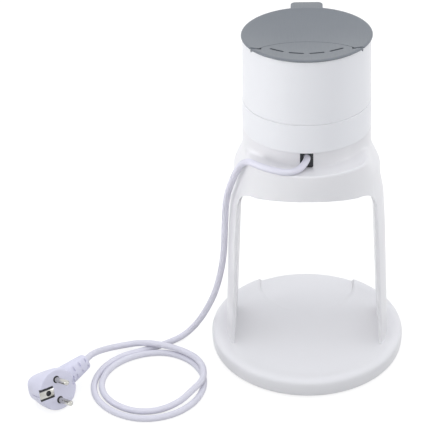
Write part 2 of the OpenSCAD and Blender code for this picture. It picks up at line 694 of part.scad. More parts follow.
// A coil spring along Z: a wire swept round a helix, with flat ends at its own two heights
module coil(r, wire, length, turns) {
    steps = 16;
    n = ceil(turns * steps);
    m = 8;
    pts = [for (k = [0:n]) let (a = 360 * k / steps, z = wire + (length - 2 * wire) * k / n)
        for (j = [0:m - 1]) let (b = 360 * j / m)
            [(r + wire * cos(b)) * cos(a), (r + wire * cos(b)) * sin(a), z + wire * sin(b)]];
    skin = [for (k = [0:n - 1], j = [0:m - 1])
        [k * m + j, k * m + (j + 1) % m, (k + 1) * m + (j + 1) % m, (k + 1) * m + j]];
    polyhedron(pts, concat(skin, [[for (j = [m - 1:-1:0]) j]], [[for (j = [0:m - 1]) n * m + j]]));
}

module valve_spring() {
    color("silver") translate([0, 0, seat_top + head_h])
        coil(3.4, 0.35, cage_h - 1.5 - head_h, 4);
}

// ---- Controls -----------------------------------------------------------
button_face = casing_r + 1.9;
flange_back = casing_r - casing_wall - 3.2;

module power_button() {
    color("slategray") translate([0, 0, button_z]) rotate([90, 0, 0]) {
        translate([0, 0, flange_back]) cylinder(r = button_r, h = button_face - flange_back - 0.8);
        translate([0, 0, button_face - 0.8]) cylinder(r1 = button_r, r2 = button_r - 0.8, h = 0.8);
        translate([0, 0, flange_back]) cylinder(r = button_r + 1.7, h = 1.5);
        translate([0, 0, switch_front + button_travel + 0.4])
            cylinder(r = 2.2, h = flange_back - switch_front - button_travel);
    }
}

module button_spring() {
    color("silver") translate([0, 0, button_z]) rotate([90, 0, 0]) translate([0, 0, switch_front])
        coil(4.3, 0.35, flange_back - switch_front, 3.5);
}

module power_switch() {
    color("dimgray") translate([-switch_size[0] / 2, -switch_front, button_z - switch_size[2] / 2]) {
        cube(switch_size);
        for (x = [3, 12]) translate([x, switch_size[1], 1]) cube([1, 3, 4]);
    }
}

module pilot_lens() {
    face = sqrt(pow(casing_r, 2) - pow(pilot_x, 2));
    color("orangered") translate([pilot_x, 0, pilot_z]) rotate([90, 0, 0]) {
        translate([0, 0, face - 5]) cylinder(r = pilot_r, h = 5.4);
        translate([0, 0, face - 5]) cylinder(r = pilot_r + 1, h = 1.2);
    }
}

module pilot_lamp() {
    face = sqrt(pow(casing_r, 2) - pow(pilot_x, 2));
    color("orange") translate([pilot_x, 0, pilot_z]) rotate([90, 0, 0]) translate([0, 0, face - 13])
        cylinder(r = 1.9, h = 8);
}

// ---- Mains lead ---------------------------------------------------------
// Where the cord's middle runs: out of the gland, through the notch, round the rim of the collar,
// down beside the leg, two turns on the table and over itself to the plug
floor_mid = cord_d / 2;
over_mid = 1.5 * cord_d + 0.3;
cord_route = [[0, 43.4, 222.3], [-0.4, 46.5, 221.2], [1.2, 50.2, 219], [5, 55.2, 216.9], [11, 60.2, 216.3],
    [17.5, 61.6, 216.4], [25, 59, 216.4], [33, 55, 216.4], [41, 49.4, 216.4], [48, 43.4, 216],
    [54.2, 38.4, 211], [59, 34, 201.5], [62.8, 30, 191], [66.5, 25.5, 179], [69.6, 20.5, 164],
    [71.3, 15.5, 146], [72.8, 11, 125], [74.2, 7.5, 105], [76.6, 4.5, 87], [80, 2.5, 70], [84.8, 1, 53],
    [91.5, 0, 37], [99.5, -1, 22], [108.5, -1, 10], [118, 3, 4], [129, 10.5, floor_mid],
    [141, 18, floor_mid], [155, 24.5, floor_mid], [170, 32, floor_mid], [182.5, 44.5, floor_mid],
    [190, 61, floor_mid], [191, 79, floor_mid], [185, 95.5, floor_mid], [171.5, 110, floor_mid],
    [153, 118.8, floor_mid], [134, 119.8, floor_mid], [115, 113, floor_mid], [100, 98.5, floor_mid],
    [92.8, 80, floor_mid], [93.5, 61, floor_mid], [101.5, 45, floor_mid], [114, 33.5, floor_mid],
    [130, 27.2, floor_mid], [147, 28, floor_mid], [163, 34.6, floor_mid], [176, 46, floor_mid],
    [183.5, 61, floor_mid], [184, 77.5, floor_mid], [177, 93, floor_mid], [164, 104.5, floor_mid],
    [147.5, 110.5, floor_mid], [129, 109.3, 3.8], [112.5, 101.3, 6.4], [101, 88, over_mid],
    [93.4, 73, over_mid], [93.6, 57, over_mid], [100, 43.5, over_mid], [109.5, 34.5, over_mid],
    [120.6, 28, over_mid], [129.6, 24.3, over_mid], [139, 21.5, over_mid], [148, 20, over_mid],
    [158, 17.5, 6.8], [168, 17.5, 5], [178, 22.4, 6.2], [186, 31, 10], [192, 41.4, 14.8], [196.2, 52, 19],
    [199.4, 63, 21.7]];

function unit(v) = v / norm(v);
// The cord leaves the gland level, and enters the plug along its relief
function route_heading(i) = let (p = cord_route, n = len(p))
    i == 0 ? [0, 1, 0] : unit(p[min(i + 1, n - 1)] - p[max(i - 1, 0)]);
// A side direction carried along the route, so that the tube doesn't twist
function carried(i, side) = i >= len(cord_route) ? []
    : let (t = route_heading(i), s = unit(side - (side * t) * t)) concat([s], carried(i + 1, s));

module cord() {
    sides_n = 10;
    n = len(cord_route);
    side = carried(0, [1, 0, 0]);
    pts = [for (i = [0:n - 1]) let (t = route_heading(i), s = side[i], u = cross(t, s))
        for (j = [0:sides_n - 1]) let (b = 360 * j / sides_n)
            cord_route[i] + cord_d / 2 * (cos(b) * s + sin(b) * u)];
    skin = [for (i = [0:n - 2], j = [0:sides_n - 1])
        [i * sides_n + (j + 1) % sides_n, i * sides_n + j, (i + 1) * sides_n + j,
            (i + 1) * sides_n + (j + 1) % sides_n]];
    color("lavender") polyhedron(pts, concat(skin, [[for (j = [0:sides_n - 1]) j]],
        [[for (j = [sides_n - 1:-1:0]) (n - 1) * sides_n + j]]));
}

module cord_gland() {
    color("dimgray") difference() {
        translate([-7, gland_y[0], head_z - gland_drop]) cube([14, gland_y[1] - gland_y[0], gland_drop]);
        translate([-7 - eps, gland_y[0] - eps, head_z - gland_drop - eps])
            cube([14 + 2 * eps, 6, gland_drop - 3]);
    }
}

// The plug's own frame: its round face at z = 0, pins along +Z, cord towards +Y
plug_at = [218, 102, 19.4];
plug_turn = [-19, 69, 114];
plug_depth = 17;
pin_root_r = plug_pin_d / 2 - 0.5;                  // the part of a pin inside the plug
pin_root_len = 8;
pin_tip_h = 1.6;
earth_y = -10.3;                                    // the hole for a socket's earth pin
earth_hole_r = 2.5;
earth_w = 8.4;                                      // the metal plate round that hole
earth_t = 0.6;
relief_from = [-7, 24, -10];
relief_to = [-12, 39, -12.5];

module at_plug() {
    translate(plug_at) rotate(plug_turn) children();
}

module plug_body() {
    color("lavender") at_plug() difference() {
        union() {
            hull() {
                translate([0, 0, -5]) cylinder(r = plug_r, h = 5, $fn = 40);
                translate([0, -1, -plug_depth]) cylinder(r = plug_r - 4, h = 5, $fn = 40);
                translate(relief_from) sphere(r = 6.4, $fn = 20);
            }
            hull() {
                translate(relief_from) sphere(r = 6.4, $fn = 20);
                translate(relief_to) rotate([-90, 0, 17.5]) translate([0, 0, -1])
                    cylinder(r = 4.6, h = 1, $fn = 24);
            }
        }
        for (x = [-1, 1]) translate([x * plug_pitch / 2, 0, -pin_root_len])
            cylinder(r = pin_root_r, h = pin_root_len + 2);
        translate([0, earth_y, -12]) cylinder(r = earth_hole_r, h = 14);
    }
}

module plug_pins() {
    color("silver") at_plug() for (x = [-1, 1]) translate([x * plug_pitch / 2, 0, 0]) {
        translate([0, 0, -pin_root_len]) cylinder(r = pin_root_r, h = pin_root_len);
        cylinder(r = plug_pin_d / 2, h = plug_pin_len - pin_tip_h);
        translate([0, 0, plug_pin_len - pin_tip_h]) cylinder(r1 = plug_pin_d / 2, r2 = 1.2, h = pin_tip_h);
    }
}

module plug_earth() {
    color("silver") at_plug() difference() {
        translate([-earth_w / 2, -plug_r - earth_t, 0]) cube([earth_w, plug_r - 4, earth_t]);
        translate([0, earth_y, -1]) cylinder(r = earth_hole_r, h = 3);
    }
}

base_plate();
base_cover();
base_feet();
cover_screws();
leg_screws();
stand_yoke();
neck_screws();
lower_casing();
upper_casing();
casing_screws();
vent_panel();
hinge_pins();
lid();
lid_liner();
boiler_vessel();
vessel_gasket();
heater_plate();
heater_element();
thermostat();
thermal_fuse();
terminal_block();
outlet_tube();
outlet_nut();
valve_plunger();
valve_spring();
strainer_cage();
bimetal_disc();
drip_nozzle();
power_button();
button_spring();
power_switch();
pilot_lens();
pilot_lamp();
cord_gland();
cord();
plug_body();
plug_pins();
plug_earth();
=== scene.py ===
# %% [markdown]
# # A one-cup drip hot drink maker
# The CAD model comes in first and stays fixed: every size in this file is taken from it. The shapes
# made here are finer skins over the same solids, and everything is in metres, with the origin under
# the middle of the base, the back towards +Y and the front towards -Y.

# %% Load the fixed frame
import json
import math

import bmesh
import bpy
import numpy as np
from mathutils import Matrix, Vector


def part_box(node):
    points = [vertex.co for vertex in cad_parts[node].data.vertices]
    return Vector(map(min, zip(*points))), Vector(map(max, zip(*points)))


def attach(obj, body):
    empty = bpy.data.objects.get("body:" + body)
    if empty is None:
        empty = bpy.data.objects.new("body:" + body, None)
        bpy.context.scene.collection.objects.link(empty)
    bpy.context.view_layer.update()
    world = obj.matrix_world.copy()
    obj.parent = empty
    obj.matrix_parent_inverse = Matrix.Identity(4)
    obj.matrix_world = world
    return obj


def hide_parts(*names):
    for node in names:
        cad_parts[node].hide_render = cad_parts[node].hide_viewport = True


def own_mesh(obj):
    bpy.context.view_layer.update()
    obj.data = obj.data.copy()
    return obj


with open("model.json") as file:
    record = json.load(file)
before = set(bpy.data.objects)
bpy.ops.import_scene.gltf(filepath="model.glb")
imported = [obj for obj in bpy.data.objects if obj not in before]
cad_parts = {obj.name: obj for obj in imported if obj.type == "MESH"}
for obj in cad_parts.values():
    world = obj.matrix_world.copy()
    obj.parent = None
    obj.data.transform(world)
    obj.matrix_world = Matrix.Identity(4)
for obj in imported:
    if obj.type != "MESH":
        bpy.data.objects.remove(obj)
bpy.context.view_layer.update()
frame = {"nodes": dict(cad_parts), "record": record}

MM = 0.001
scene = bpy.context.scene
nodes = frame["nodes"]


def put(name, data):
    """An object that shows some data, placed in the scene."""
    thing = bpy.data.objects.new(name, data)
    scene.collection.objects.link(thing)
    return thing


print("nodes from the frame:", len(nodes))

# %% [markdown]
# ## Camera
# The object is seen from behind and above, with a long lens, so that the round parts stay calm. The
# camera looks down by 31.75 degrees and is turned a little to its left, which leaves room in the
# picture for the cord and the plug. Turning it does the work that a lens shift could do, and keeps
# the object in the middle when the camera is moved round it.

# %% Camera
camera_place = Vector((0.0, 1.0171, 0.7686))
pitch, turn = math.radians(31.75), math.radians(3.98)
right, ahead = Vector((-1, 0, 0)), Vector((0, -math.cos(pitch), -math.sin(pitch)))
up = right.cross(ahead)
ahead_turned = ahead * math.cos(turn) - right * math.sin(turn)
right_turned = right * math.cos(turn) + ahead * math.sin(turn)
camera_data = bpy.data.cameras.new("camera")
camera_data.sensor_width, camera_data.lens = 36.0, 113.7
camera = put("camera", camera_data)
camera.matrix_world = Matrix((
    (right_turned.x, up.x, -ahead_turned.x, camera_place.x),
    (right_turned.y, up.y, -ahead_turned.y, camera_place.y),
    (right_turned.z, up.z, -ahead_turned.z, camera_place.z),
    (0, 0, 0, 1)))
scene.camera = camera
print("camera looks along", [round(x, 3) for x in ahead_turned])

# %% [markdown]
# ## The cord's route
# A mains cord is a fixed length of stiff, round, rubbery lead. It comes out of a notch in the neck,
# lies round the ledge of the collar, falls beside a leg, makes two turns on the table and crosses
# over itself to the plug. Its middle line is a list of points, and a smooth curve runs through them.

# %% The cord's middle line, in millimetres
cord_d = 5.8
floor_mid = cord_d / 2
over_mid = 1.5 * cord_d + 0.3
route = np.array([
    (0, 43.4, 222.3), (-0.4, 46.5, 221.2), (1.2, 50.2, 219), (5, 55.2, 216.9), (11, 60.2, 216.3),
    (17.5, 61.6, 216.4), (25, 59, 216.4), (33, 55, 216.4), (41, 49.4, 216.4), (48, 43.4, 216),
    (54.2, 38.4, 211), (59, 34, 201.5), (62.8, 30, 191), (66.5, 25.5, 179), (69.6, 20.5, 164),
    (71.3, 15.5, 146), (72.8, 11, 125), (74.2, 7.5, 105), (76.6, 4.5, 87), (80, 2.5, 70),
    (84.8, 1, 53), (91.5, 0, 37), (99.5, -1, 22), (108.5, -1, 10), (118, 3, 4),
    (129, 10.5, floor_mid), (141, 18, floor_mid), (155, 24.5, floor_mid), (170, 32, floor_mid),
    (182.5, 44.5, floor_mid), (190, 61, floor_mid), (191, 79, floor_mid), (185, 95.5, floor_mid),
    (171.5, 110, floor_mid), (153, 118.8, floor_mid), (134, 119.8, floor_mid),
    (115, 113, floor_mid), (100, 98.5, floor_mid), (92.8, 80, floor_mid), (93.5, 61, floor_mid),
    (101.5, 45, floor_mid), (114, 33.5, floor_mid), (130, 27.2, floor_mid), (147, 28, floor_mid),
    (163, 34.6, floor_mid), (176, 46, floor_mid), (183.5, 61, floor_mid), (184, 77.5, floor_mid),
    (177, 93, floor_mid), (164, 104.5, floor_mid), (147.5, 110.5, floor_mid), (129, 109.3, 3.8),
    (112.5, 101.3, 6.4), (101, 88, over_mid), (93.4, 73, over_mid), (93.6, 57, over_mid),
    (100, 43.5, over_mid), (109.5, 34.5, over_mid), (120.6, 28, over_mid), (129.6, 24.3, over_mid),
    (139, 21.5, over_mid), (148, 20, over_mid), (158, 17.5, 6.8), (168, 17.5, 5),
    (178, 22.4, 6.2), (186, 31, 10), (192, 41.4, 14.8), (196.2, 52, 19), (199.4, 63, 21.7)])
print("route points:", len(route))


# %% A smooth line through given points
def through(points, steps):
    """A Catmull-Rom line: between points B and C the curve is a cubic that leaves B along C - A and
    arrives at C along D - B. Returns steps points for each stretch, and the last point."""
    p = np.vstack([2 * points[0] - points[1], points, 2 * points[-1] - points[-2]])
    a, b, c, d = (p[k:len(p) - 3 + k, None, :] for k in range(4))
    t = (np.arange(steps) / steps)[None, :, None]
    line = 0.5 * (2 * b + (c - a) * t + (2 * a - 5 * b + 4 * c - d) * t ** 2
                  + (3 * b - a - 3 * c + d) * t ** 3)
    return np.vstack([line.reshape(-1, points.shape[1]), points[-1:]])


cord_line = through(route, 6) * MM

# %% [markdown]
# ## Skins from grids
# Most pieces are moulded shells, and a moulded shell is a grid of points that closes on itself: round
# the object in one direction and through the wall's section in the other. So one helper turns a grid
# into faces, and a second one rounds the corners of a section by small arcs, with an extra point
# beside each arc so that the shading of the flat parts stays flat.


# %% Helpers for meshes
def grid_faces(rows, cols, wrap_rows=False, wrap_cols=False):
    """Quads between neighbouring points of a grid; a wrapped side joins its last line to its first."""
    i, j = np.meshgrid(np.arange(rows if wrap_rows else rows - 1),
                       np.arange(cols if wrap_cols else cols - 1), indexing="ij")
    k, m = (i + 1) % rows, (j + 1) % cols
    return np.stack([i * cols + j, k * cols + j, k * cols + m, i * cols + m], -1).reshape(-1, 4)


def signed_volume(points, faces):
    """The sum over the faces of a corner's dot product with the cross product of the next two, over 6."""
    a, b, c, d = (points[faces[:, k]] for k in range(4))
    return float((a * np.cross(b, c)).sum() + (a * np.cross(c, d)).sum()) / 6


def add_piece(name, points, faces):
    """Puts a piece's points (metres) and faces into a mesh whose faces look outwards."""
    points = np.asarray(points, float).reshape(-1, 3)
    if signed_volume(points, faces) < 0:
        faces = faces[:, ::-1]
    mesh = bpy.data.meshes.new(name)
    mesh.from_pydata(points, [], faces)
    mesh.validate()
    mesh.polygons.foreach_set("use_smooth", np.ones(len(mesh.polygons), bool))
    piece = put(name, mesh)
    print(name, "-", len(points), "points,", len(faces), "faces")
    return piece


def rounded(corners, steps=5):
    """A closed section with rounded corners. Each corner is (r, z, radius); an arc of that radius
    touches both sides, and a point lies a little outside each end of the arc."""
    c = np.array(corners, float)
    p, radius = c[:, :2], c[:, 2]
    before, after = np.roll(p, 1, 0) - p, np.roll(p, -1, 0) - p
    lb, la = np.linalg.norm(before, axis=1), np.linalg.norm(after, axis=1)
    before, after = before / lb[:, None], after / la[:, None]
    half = np.arccos(np.clip((before * after).sum(1), -1, 1)) / 2
    cut = np.minimum(radius / np.tan(half), 0.45 * np.minimum(lb, la))
    out = []
    for k in range(len(p)):
        if radius[k] <= 0:
            out.append(p[k][None])
            continue
        start, end = p[k] + before[k] * cut[k], p[k] + after[k] * cut[k]
        t = np.linspace(0, 1, steps + 1)[:, None]
        arc = (1 - t) ** 2 * start + 2 * t * (1 - t) * p[k] + t ** 2 * end
        out += [start[None] + before[k] * cut[k] * 0.12, arc, end[None] + after[k] * cut[k] * 0.12]
    return np.vstack(out)


def turned(section, sides, first=0.0):
    """A section (r, z) in millimetres carried round the Z axis: x = r cos a, y = r sin a."""
    a = first + 2 * np.pi * np.arange(sides) / sides
    r, z = section[:, 0][:, None], section[:, 1][:, None]
    return np.stack([r * np.cos(a), r * np.sin(a), z + 0 * a], -1) * MM


def apply_modifiers(piece):
    """Bakes the modifiers into the mesh, so that the piece is what is seen."""
    depsgraph = bpy.context.evaluated_depsgraph_get()
    mesh = bpy.data.meshes.new_from_object(piece.evaluated_get(depsgraph))
    piece.modifiers.clear()
    piece.data = mesh
    return piece


# %% [markdown]
# ## Materials
# All the plastics are mouldings. What makes them look real is small: a colour that drifts a little
# where the melt flowed, a very fine orange-peel skin, and a polish that is not even. One node group
# gives that colour, roughness and height, and each plastic sets its own values. The white plastics
# keep a roughness above 0.28, because ranges that went lower came out with hard-edged blotches.


# %% Node helpers
def add_node(tree, kind, inputs=None, **settings):
    """A node with its settings and its plain input values."""
    made = tree.nodes.new(kind)
    for key, value in settings.items():
        setattr(made, key, value)
    for key, value in (inputs or {}).items():
        made.inputs[key].default_value = value
    return made


def new_group(name, inputs, outputs):
    """An empty node group with named sockets: inputs are (name, type, value), outputs (name, type)."""
    group = bpy.data.node_groups.new(name, "ShaderNodeTree")
    for label, kind, value in inputs:
        socket = group.interface.new_socket(name=label, in_out="INPUT", socket_type=kind)
        socket.default_value = value
    for label, kind in outputs:
        group.interface.new_socket(name=label, in_out="OUTPUT", socket_type=kind)
    return group, group.nodes.new("NodeGroupInput"), group.nodes.new("NodeGroupOutput")


FLOAT, COLOR, VECTOR = "NodeSocketFloat", "NodeSocketColor", "NodeSocketVector"


# %% The moulded skin
def build_moulded_skin():
    """Colour = base and tint mixed by broad noise; roughness = low to high by medium noise and fine
    scuffs; height = fine orange peel. Sizes are patterns per metre."""
    group, source, result = new_group(
        "moulded_skin",
        [("Vector", VECTOR, (0, 0, 0)), ("Base", COLOR, (0.8, 0.8, 0.8, 1)),
         ("Tint", COLOR, (0.8, 0.8, 0.8, 1)), ("Flow Scale", FLOAT, 14.0),
         ("Grain Scale", FLOAT, 900.0), ("Rough Low", FLOAT, 0.2), ("Rough High", FLOAT, 0.3)],
        [("Color", COLOR), ("Roughness", FLOAT), ("Height", FLOAT)])
    tree, link = group, group.links.new
    flow = add_node(tree, "ShaderNodeTexNoise", {"Detail": 3.0, "Roughness": 0.55})
    link(source.outputs["Vector"], flow.inputs["Vector"])
    link(source.outputs["Flow Scale"], flow.inputs["Scale"])
    blend = add_node(tree, "ShaderNodeMix", data_type="RGBA")
    link(flow.outputs["Fac"], blend.inputs["Factor"])
    link(source.outputs["Base"], blend.inputs["A"])
    link(source.outputs["Tint"], blend.inputs["B"])
    link(blend.outputs["Result"], result.inputs["Color"])
    peel = add_node(tree, "ShaderNodeTexNoise", {"Detail": 2.0, "Roughness": 0.5})
    link(source.outputs["Vector"], peel.inputs["Vector"])
    link(source.outputs["Grain Scale"], peel.inputs["Scale"])
    link(peel.outputs["Fac"], result.inputs["Height"])
    stretch = add_node(tree, "ShaderNodeMapping", {"Scale": (900.0, 60.0, 200.0),
                                                   "Rotation": (0.4, 0.3, 0.9)})
    link(source.outputs["Vector"], stretch.inputs["Vector"])
    scuff = add_node(tree, "ShaderNodeTexNoise", {"Scale": 1.0, "Detail": 2.0})
    link(stretch.outputs["Vector"], scuff.inputs["Vector"])
    both = add_node(tree, "ShaderNodeMath", operation="MULTIPLY")
    link(scuff.outputs["Fac"], both.inputs[0])
    link(flow.outputs["Fac"], both.inputs[1])
    spread = add_node(tree, "ShaderNodeMapRange", {"From Min": 0.15, "From Max": 0.4})
    link(both.outputs["Value"], spread.inputs["Value"])
    link(source.outputs["Rough Low"], spread.inputs["To Min"])
    link(source.outputs["Rough High"], spread.inputs["To Max"])
    link(spread.outputs["Result"], result.inputs["Roughness"])
    return group


moulded_skin = build_moulded_skin()


# %% The worked metal
def build_worked_metal():
    """Colour = base darkened in soft patches; roughness and height = noise stretched along one
    direction, as a brush or a die leaves it."""
    group, source, result = new_group(
        "worked_metal",
        [("Vector", VECTOR, (0, 0, 0)), ("Base", COLOR, (0.6, 0.6, 0.6, 1)),
         ("Stain", COLOR, (0.4, 0.4, 0.4, 1)), ("Stretch", VECTOR, (60.0, 60.0, 1500.0)),
         ("Rough Low", FLOAT, 0.2), ("Rough High", FLOAT, 0.4)],
        [("Color", COLOR), ("Roughness", FLOAT), ("Height", FLOAT)])
    link = group.links.new
    scaled = add_node(group, "ShaderNodeVectorMath", operation="MULTIPLY")
    link(source.outputs["Vector"], scaled.inputs[0])
    link(source.outputs["Stretch"], scaled.inputs[1])
    brush = add_node(group, "ShaderNodeTexNoise", {"Scale": 1.0, "Detail": 4.0})
    link(scaled.outputs["Vector"], brush.inputs["Vector"])
    cloud = add_node(group, "ShaderNodeTexNoise", {"Scale": 90.0, "Detail": 3.0})
    link(source.outputs["Vector"], cloud.inputs["Vector"])
    patch = add_node(group, "ShaderNodeMapRange", {"From Min": 0.45, "From Max": 0.75})
    link(cloud.outputs["Fac"], patch.inputs["Value"])
    blend = add_node(group, "ShaderNodeMix", data_type="RGBA")
    link(patch.outputs["Result"], blend.inputs["Factor"])
    link(source.outputs["Base"], blend.inputs["A"])
    link(source.outputs["Stain"], blend.inputs["B"])
    link(blend.outputs["Result"], result.inputs["Color"])
    spread = add_node(group, "ShaderNodeMapRange", {"From Min": 0.3, "From Max": 0.7})
    link(brush.outputs["Fac"], spread.inputs["Value"])
    link(source.outputs["Rough Low"], spread.inputs["To Min"])
    link(source.outputs["Rough High"], spread.inputs["To Max"])
    link(spread.outputs["Result"], result.inputs["Roughness"])
    link(brush.outputs["Fac"], result.inputs["Height"])
    return group


worked_metal = build_worked_metal()


# %% Materials from the two groups
def srgb(r, g, b):
    """A screen colour, 0 to 255, as the linear colour that a shader takes."""
    c = np.array([r, g, b]) / 255
    return tuple(np.where(c <= 0.04045, c / 12.92, ((c + 0.055) / 1.055) ** 2.4)) + (1.0,)


def finish_material(name, group, values, bump, depth, shader_values):
    """A material of one Principled shader that is fed by a group through its named sockets."""
    material = bpy.data.materials.new(name)
    material.use_nodes = True
    tree = material.node_tree
    shader = tree.nodes["Principled BSDF"]
    for key, value in shader_values.items():
        shader.inputs[key].default_value = value
    skin = add_node(tree, "ShaderNodeGroup", node_tree=group)
    for key, value in values.items():
        skin.inputs[key].default_value = value
    place = add_node(tree, "ShaderNodeTexCoord")
    relief = add_node(tree, "ShaderNodeBump", {"Strength": bump, "Distance": depth})
    link = tree.links.new
    link(place.outputs["Object"], skin.inputs["Vector"])
    link(skin.outputs["Color"], shader.inputs["Base Color"])
    link(skin.outputs["Roughness"], shader.inputs["Roughness"])
    link(skin.outputs["Height"], relief.inputs["Height"])
    link(relief.outputs["Normal"], shader.inputs["Normal"])
    return material


def plastic(name, base, tint, low, high, grain=900.0, bump=0.06, **shader_values):
    """A moulded plastic: two screen colours, its roughness from low to high, and its grain."""
    return finish_material(
        name, moulded_skin,
        {"Base": srgb(*base), "Tint": srgb(*tint), "Rough Low": low, "Rough High": high,
         "Grain Scale": grain}, bump, 0.0002,
        {"IOR": 1.5, **shader_values})


def metal(name, base, stain, low, high, stretch, bump=0.08):
    """A bare metal: its colour, the colour of its stains, and how its brush marks run."""
    return finish_material(
        name, worked_metal,
        {"Base": srgb(*base), "Stain": srgb(*stain), "Rough Low": low, "Rough High": high,
         "Stretch": stretch}, bump, 0.0002, {"Metallic": 1.0})


materials = {
    "stand_plastic": plastic("stand_plastic", (238, 237, 238), (236, 235, 237), 0.30, 0.34,
                             700.0, 0.015, **{"IOR": 1.4}),
    "head_plastic": plastic("head_plastic", (238, 238, 240), (236, 236, 239), 0.285, 0.325,
                            700.0, 0.015, **{"IOR": 1.42}),
    "lid_plastic": plastic("lid_plastic", (122, 127, 133), (118, 123, 129), 0.34, 0.42, 1400.0, 0.08),
    "liner_plastic": plastic("liner_plastic", (214, 214, 210), (205, 205, 201), 0.4, 0.5),
    "dark_plastic": plastic("dark_plastic", (38, 40, 43), (46, 48, 51), 0.4, 0.55, 1600.0, 0.15),
    "rubber": plastic("rubber", (58, 58, 60), (68, 68, 70), 0.6, 0.75, 2200.0, 0.25),
    "silicone": plastic("silicone", (190, 70, 52), (176, 60, 46), 0.45, 0.6, 1200.0, 0.1),
    "cord_pvc": plastic("cord_pvc", (226, 225, 234), (220, 218, 230), 0.38, 0.48, 1500.0, 0.12),
    "plug_pvc": plastic("plug_pvc", (226, 225, 240), (219, 218, 236), 0.34, 0.46, 1400.0, 0.1),
    "lamp_glass": plastic("lamp_glass", (240, 112, 34), (232, 96, 26), 0.1, 0.16,
                          **{"Transmission Weight": 0.35}),
    "steel": metal("steel", (196, 197, 199), (176, 177, 180), 0.2, 0.34, (40.0, 40.0, 1800.0)),
    "screw_steel": metal("screw_steel", (176, 177, 178), (140, 141, 142), 0.28, 0.45,
                         (500.0, 500.0, 500.0)),
    "aluminium": metal("aluminium", (190, 192, 194), (160, 161, 164), 0.38, 0.55,
                       (300.0, 300.0, 300.0)),
    "dark_metal": metal("dark_metal", (84, 80, 78), (60, 56, 54), 0.4, 0.6, (400.0, 400.0, 400.0)),
    "brass": metal("brass", (214, 180, 108), (170, 138, 80), 0.24, 0.42, (400.0, 400.0, 900.0)),
    "nickel": metal("nickel", (204, 203, 198), (170, 169, 162), 0.14, 0.28, (300.0, 300.0, 300.0)),
}
print("materials:", len(materials))

# %% [markdown]
# ## The carried CAD nodes
# Small parts such as screws, gaskets and the boiler already have their final shape in the CAD
# model. They only need the finish of what they are made of, so each gets the material of its slot.

# %% Materials on the CAD nodes
slot_of = {entry["node"]: entry["material_slot"] for entry in frame["record"]["subparts"]}
for name, thing in nodes.items():
    thing.data.materials.clear()
    thing.data.materials.append(materials[slot_of[name]])
print("slots in use:", sorted(set(slot_of.values())))


def wear(piece, slot, body, *replaced):
    """Gives a new piece its material, its slot, the body it moves with and the nodes it stands for."""
    piece.data.materials.clear()
    piece.data.materials.append(materials[slot])
    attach(piece, body)
    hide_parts(*replaced)
    return piece


# %% [markdown]
# ## The cord
# Blender can sweep a round line by itself: a curve with a bevel depth is a cord, and its own line
# stays its middle line, which makes it easy to measure. The points are joined straight, because they
# already lie close together on the smooth line.

# %% The cord as a curve
cord_curve = bpy.data.curves.new("mains_cord", "CURVE")
cord_curve.dimensions = "3D"
cord_curve.bevel_depth = cord_d / 2 * MM
cord_curve.bevel_resolution = 6
cord_curve.use_fill_caps = True
spline = cord_curve.splines.new("POLY")
spline.points.add(len(cord_line) - 1)
spline.points.foreach_set("co", np.hstack([cord_line, np.ones((len(cord_line), 1))]).ravel())
spline.use_smooth = True
mains_cord = put("mains_cord", cord_curve)
wear(mains_cord, "cord_pvc", "stand", "cord")

# %% [markdown]
# ## Cutting holes
# A moulding's holes are made by pins in its tool. The same is done here: a plain solid with the
# hole's outline is taken away from the smooth skin, and the skin's own curve stays untouched.


# %% Outlines and prisms
def slot_outline(length, width, corner, steps=6):
    """A rectangle with rounded corners, walked round once: each corner is a quarter circle."""
    a = np.linspace(0, np.pi / 2, steps)
    out = []
    for k, (sx, sy) in enumerate([(1, 1), (-1, 1), (-1, -1), (1, -1)]):
        middle_x, middle_y = sx * (length / 2 - corner), sy * (width / 2 - corner)
        out.append(np.c_[middle_x + corner * np.cos(a + k * np.pi / 2),
                         middle_y + corner * np.sin(a + k * np.pi / 2)])
    return np.vstack(out)


def circle_outline(radius, sides, middle=(0.0, 0.0)):
    """Points on a circle: the middle plus radius times cosine and sine."""
    a = 2 * np.pi * np.arange(sides) / sides
    return np.c_[middle[0] + radius * np.cos(a), middle[1] + radius * np.sin(a)]


def prism(outline, low, high):
    """Two copies of a closed outline (x, y) at two heights, with its sides and ends."""
    n = len(outline)
    points = np.vstack([np.c_[outline, np.full(n, low)], np.c_[outline, np.full(n, high)]])
    k = np.arange(n)
    sides = np.stack([k, (k + 1) % n, (k + 1) % n + n, k + n], -1).tolist()
    return points, sides + [k[::-1].tolist(), (k + n).tolist()]


def ease(t):
    """Smooth step: 3t squared minus 2t cubed, with t held between 0 and 1."""
    t = np.clip(t, 0, 1)
    return t * t * (3 - 2 * t)


def along_y(solid):
    """Lays a prism down from along Z to along Y: (x, y, z) becomes (x, z, y)."""
    return solid[0][:, [0, 2, 1]], solid[1]


def along_x(solid):
    """Lays a prism down from along Z to along X: (x, y, z) becomes (z, x, y)."""
    return solid[0][:, [2, 0, 1]], solid[1]


# %% Mending and cutting meshes
def close_up(mesh, distance=1e-6):
    """Joins doubled points, then turns all faces outwards."""
    work = bmesh.new()
    work.from_mesh(mesh)
    bmesh.ops.remove_doubles(work, verts=work.verts, dist=distance)
    bmesh.ops.recalc_face_normals(work, faces=work.faces)
    work.to_mesh(mesh)
    work.free()
    return mesh


def temporary(solid):
    """An object for a solid in millimetres, to be taken away after use."""
    mesh = bpy.data.meshes.new("tool")
    mesh.from_pydata(np.asarray(solid[0]) * MM, [], solid[1])
    return put("tool", close_up(mesh))


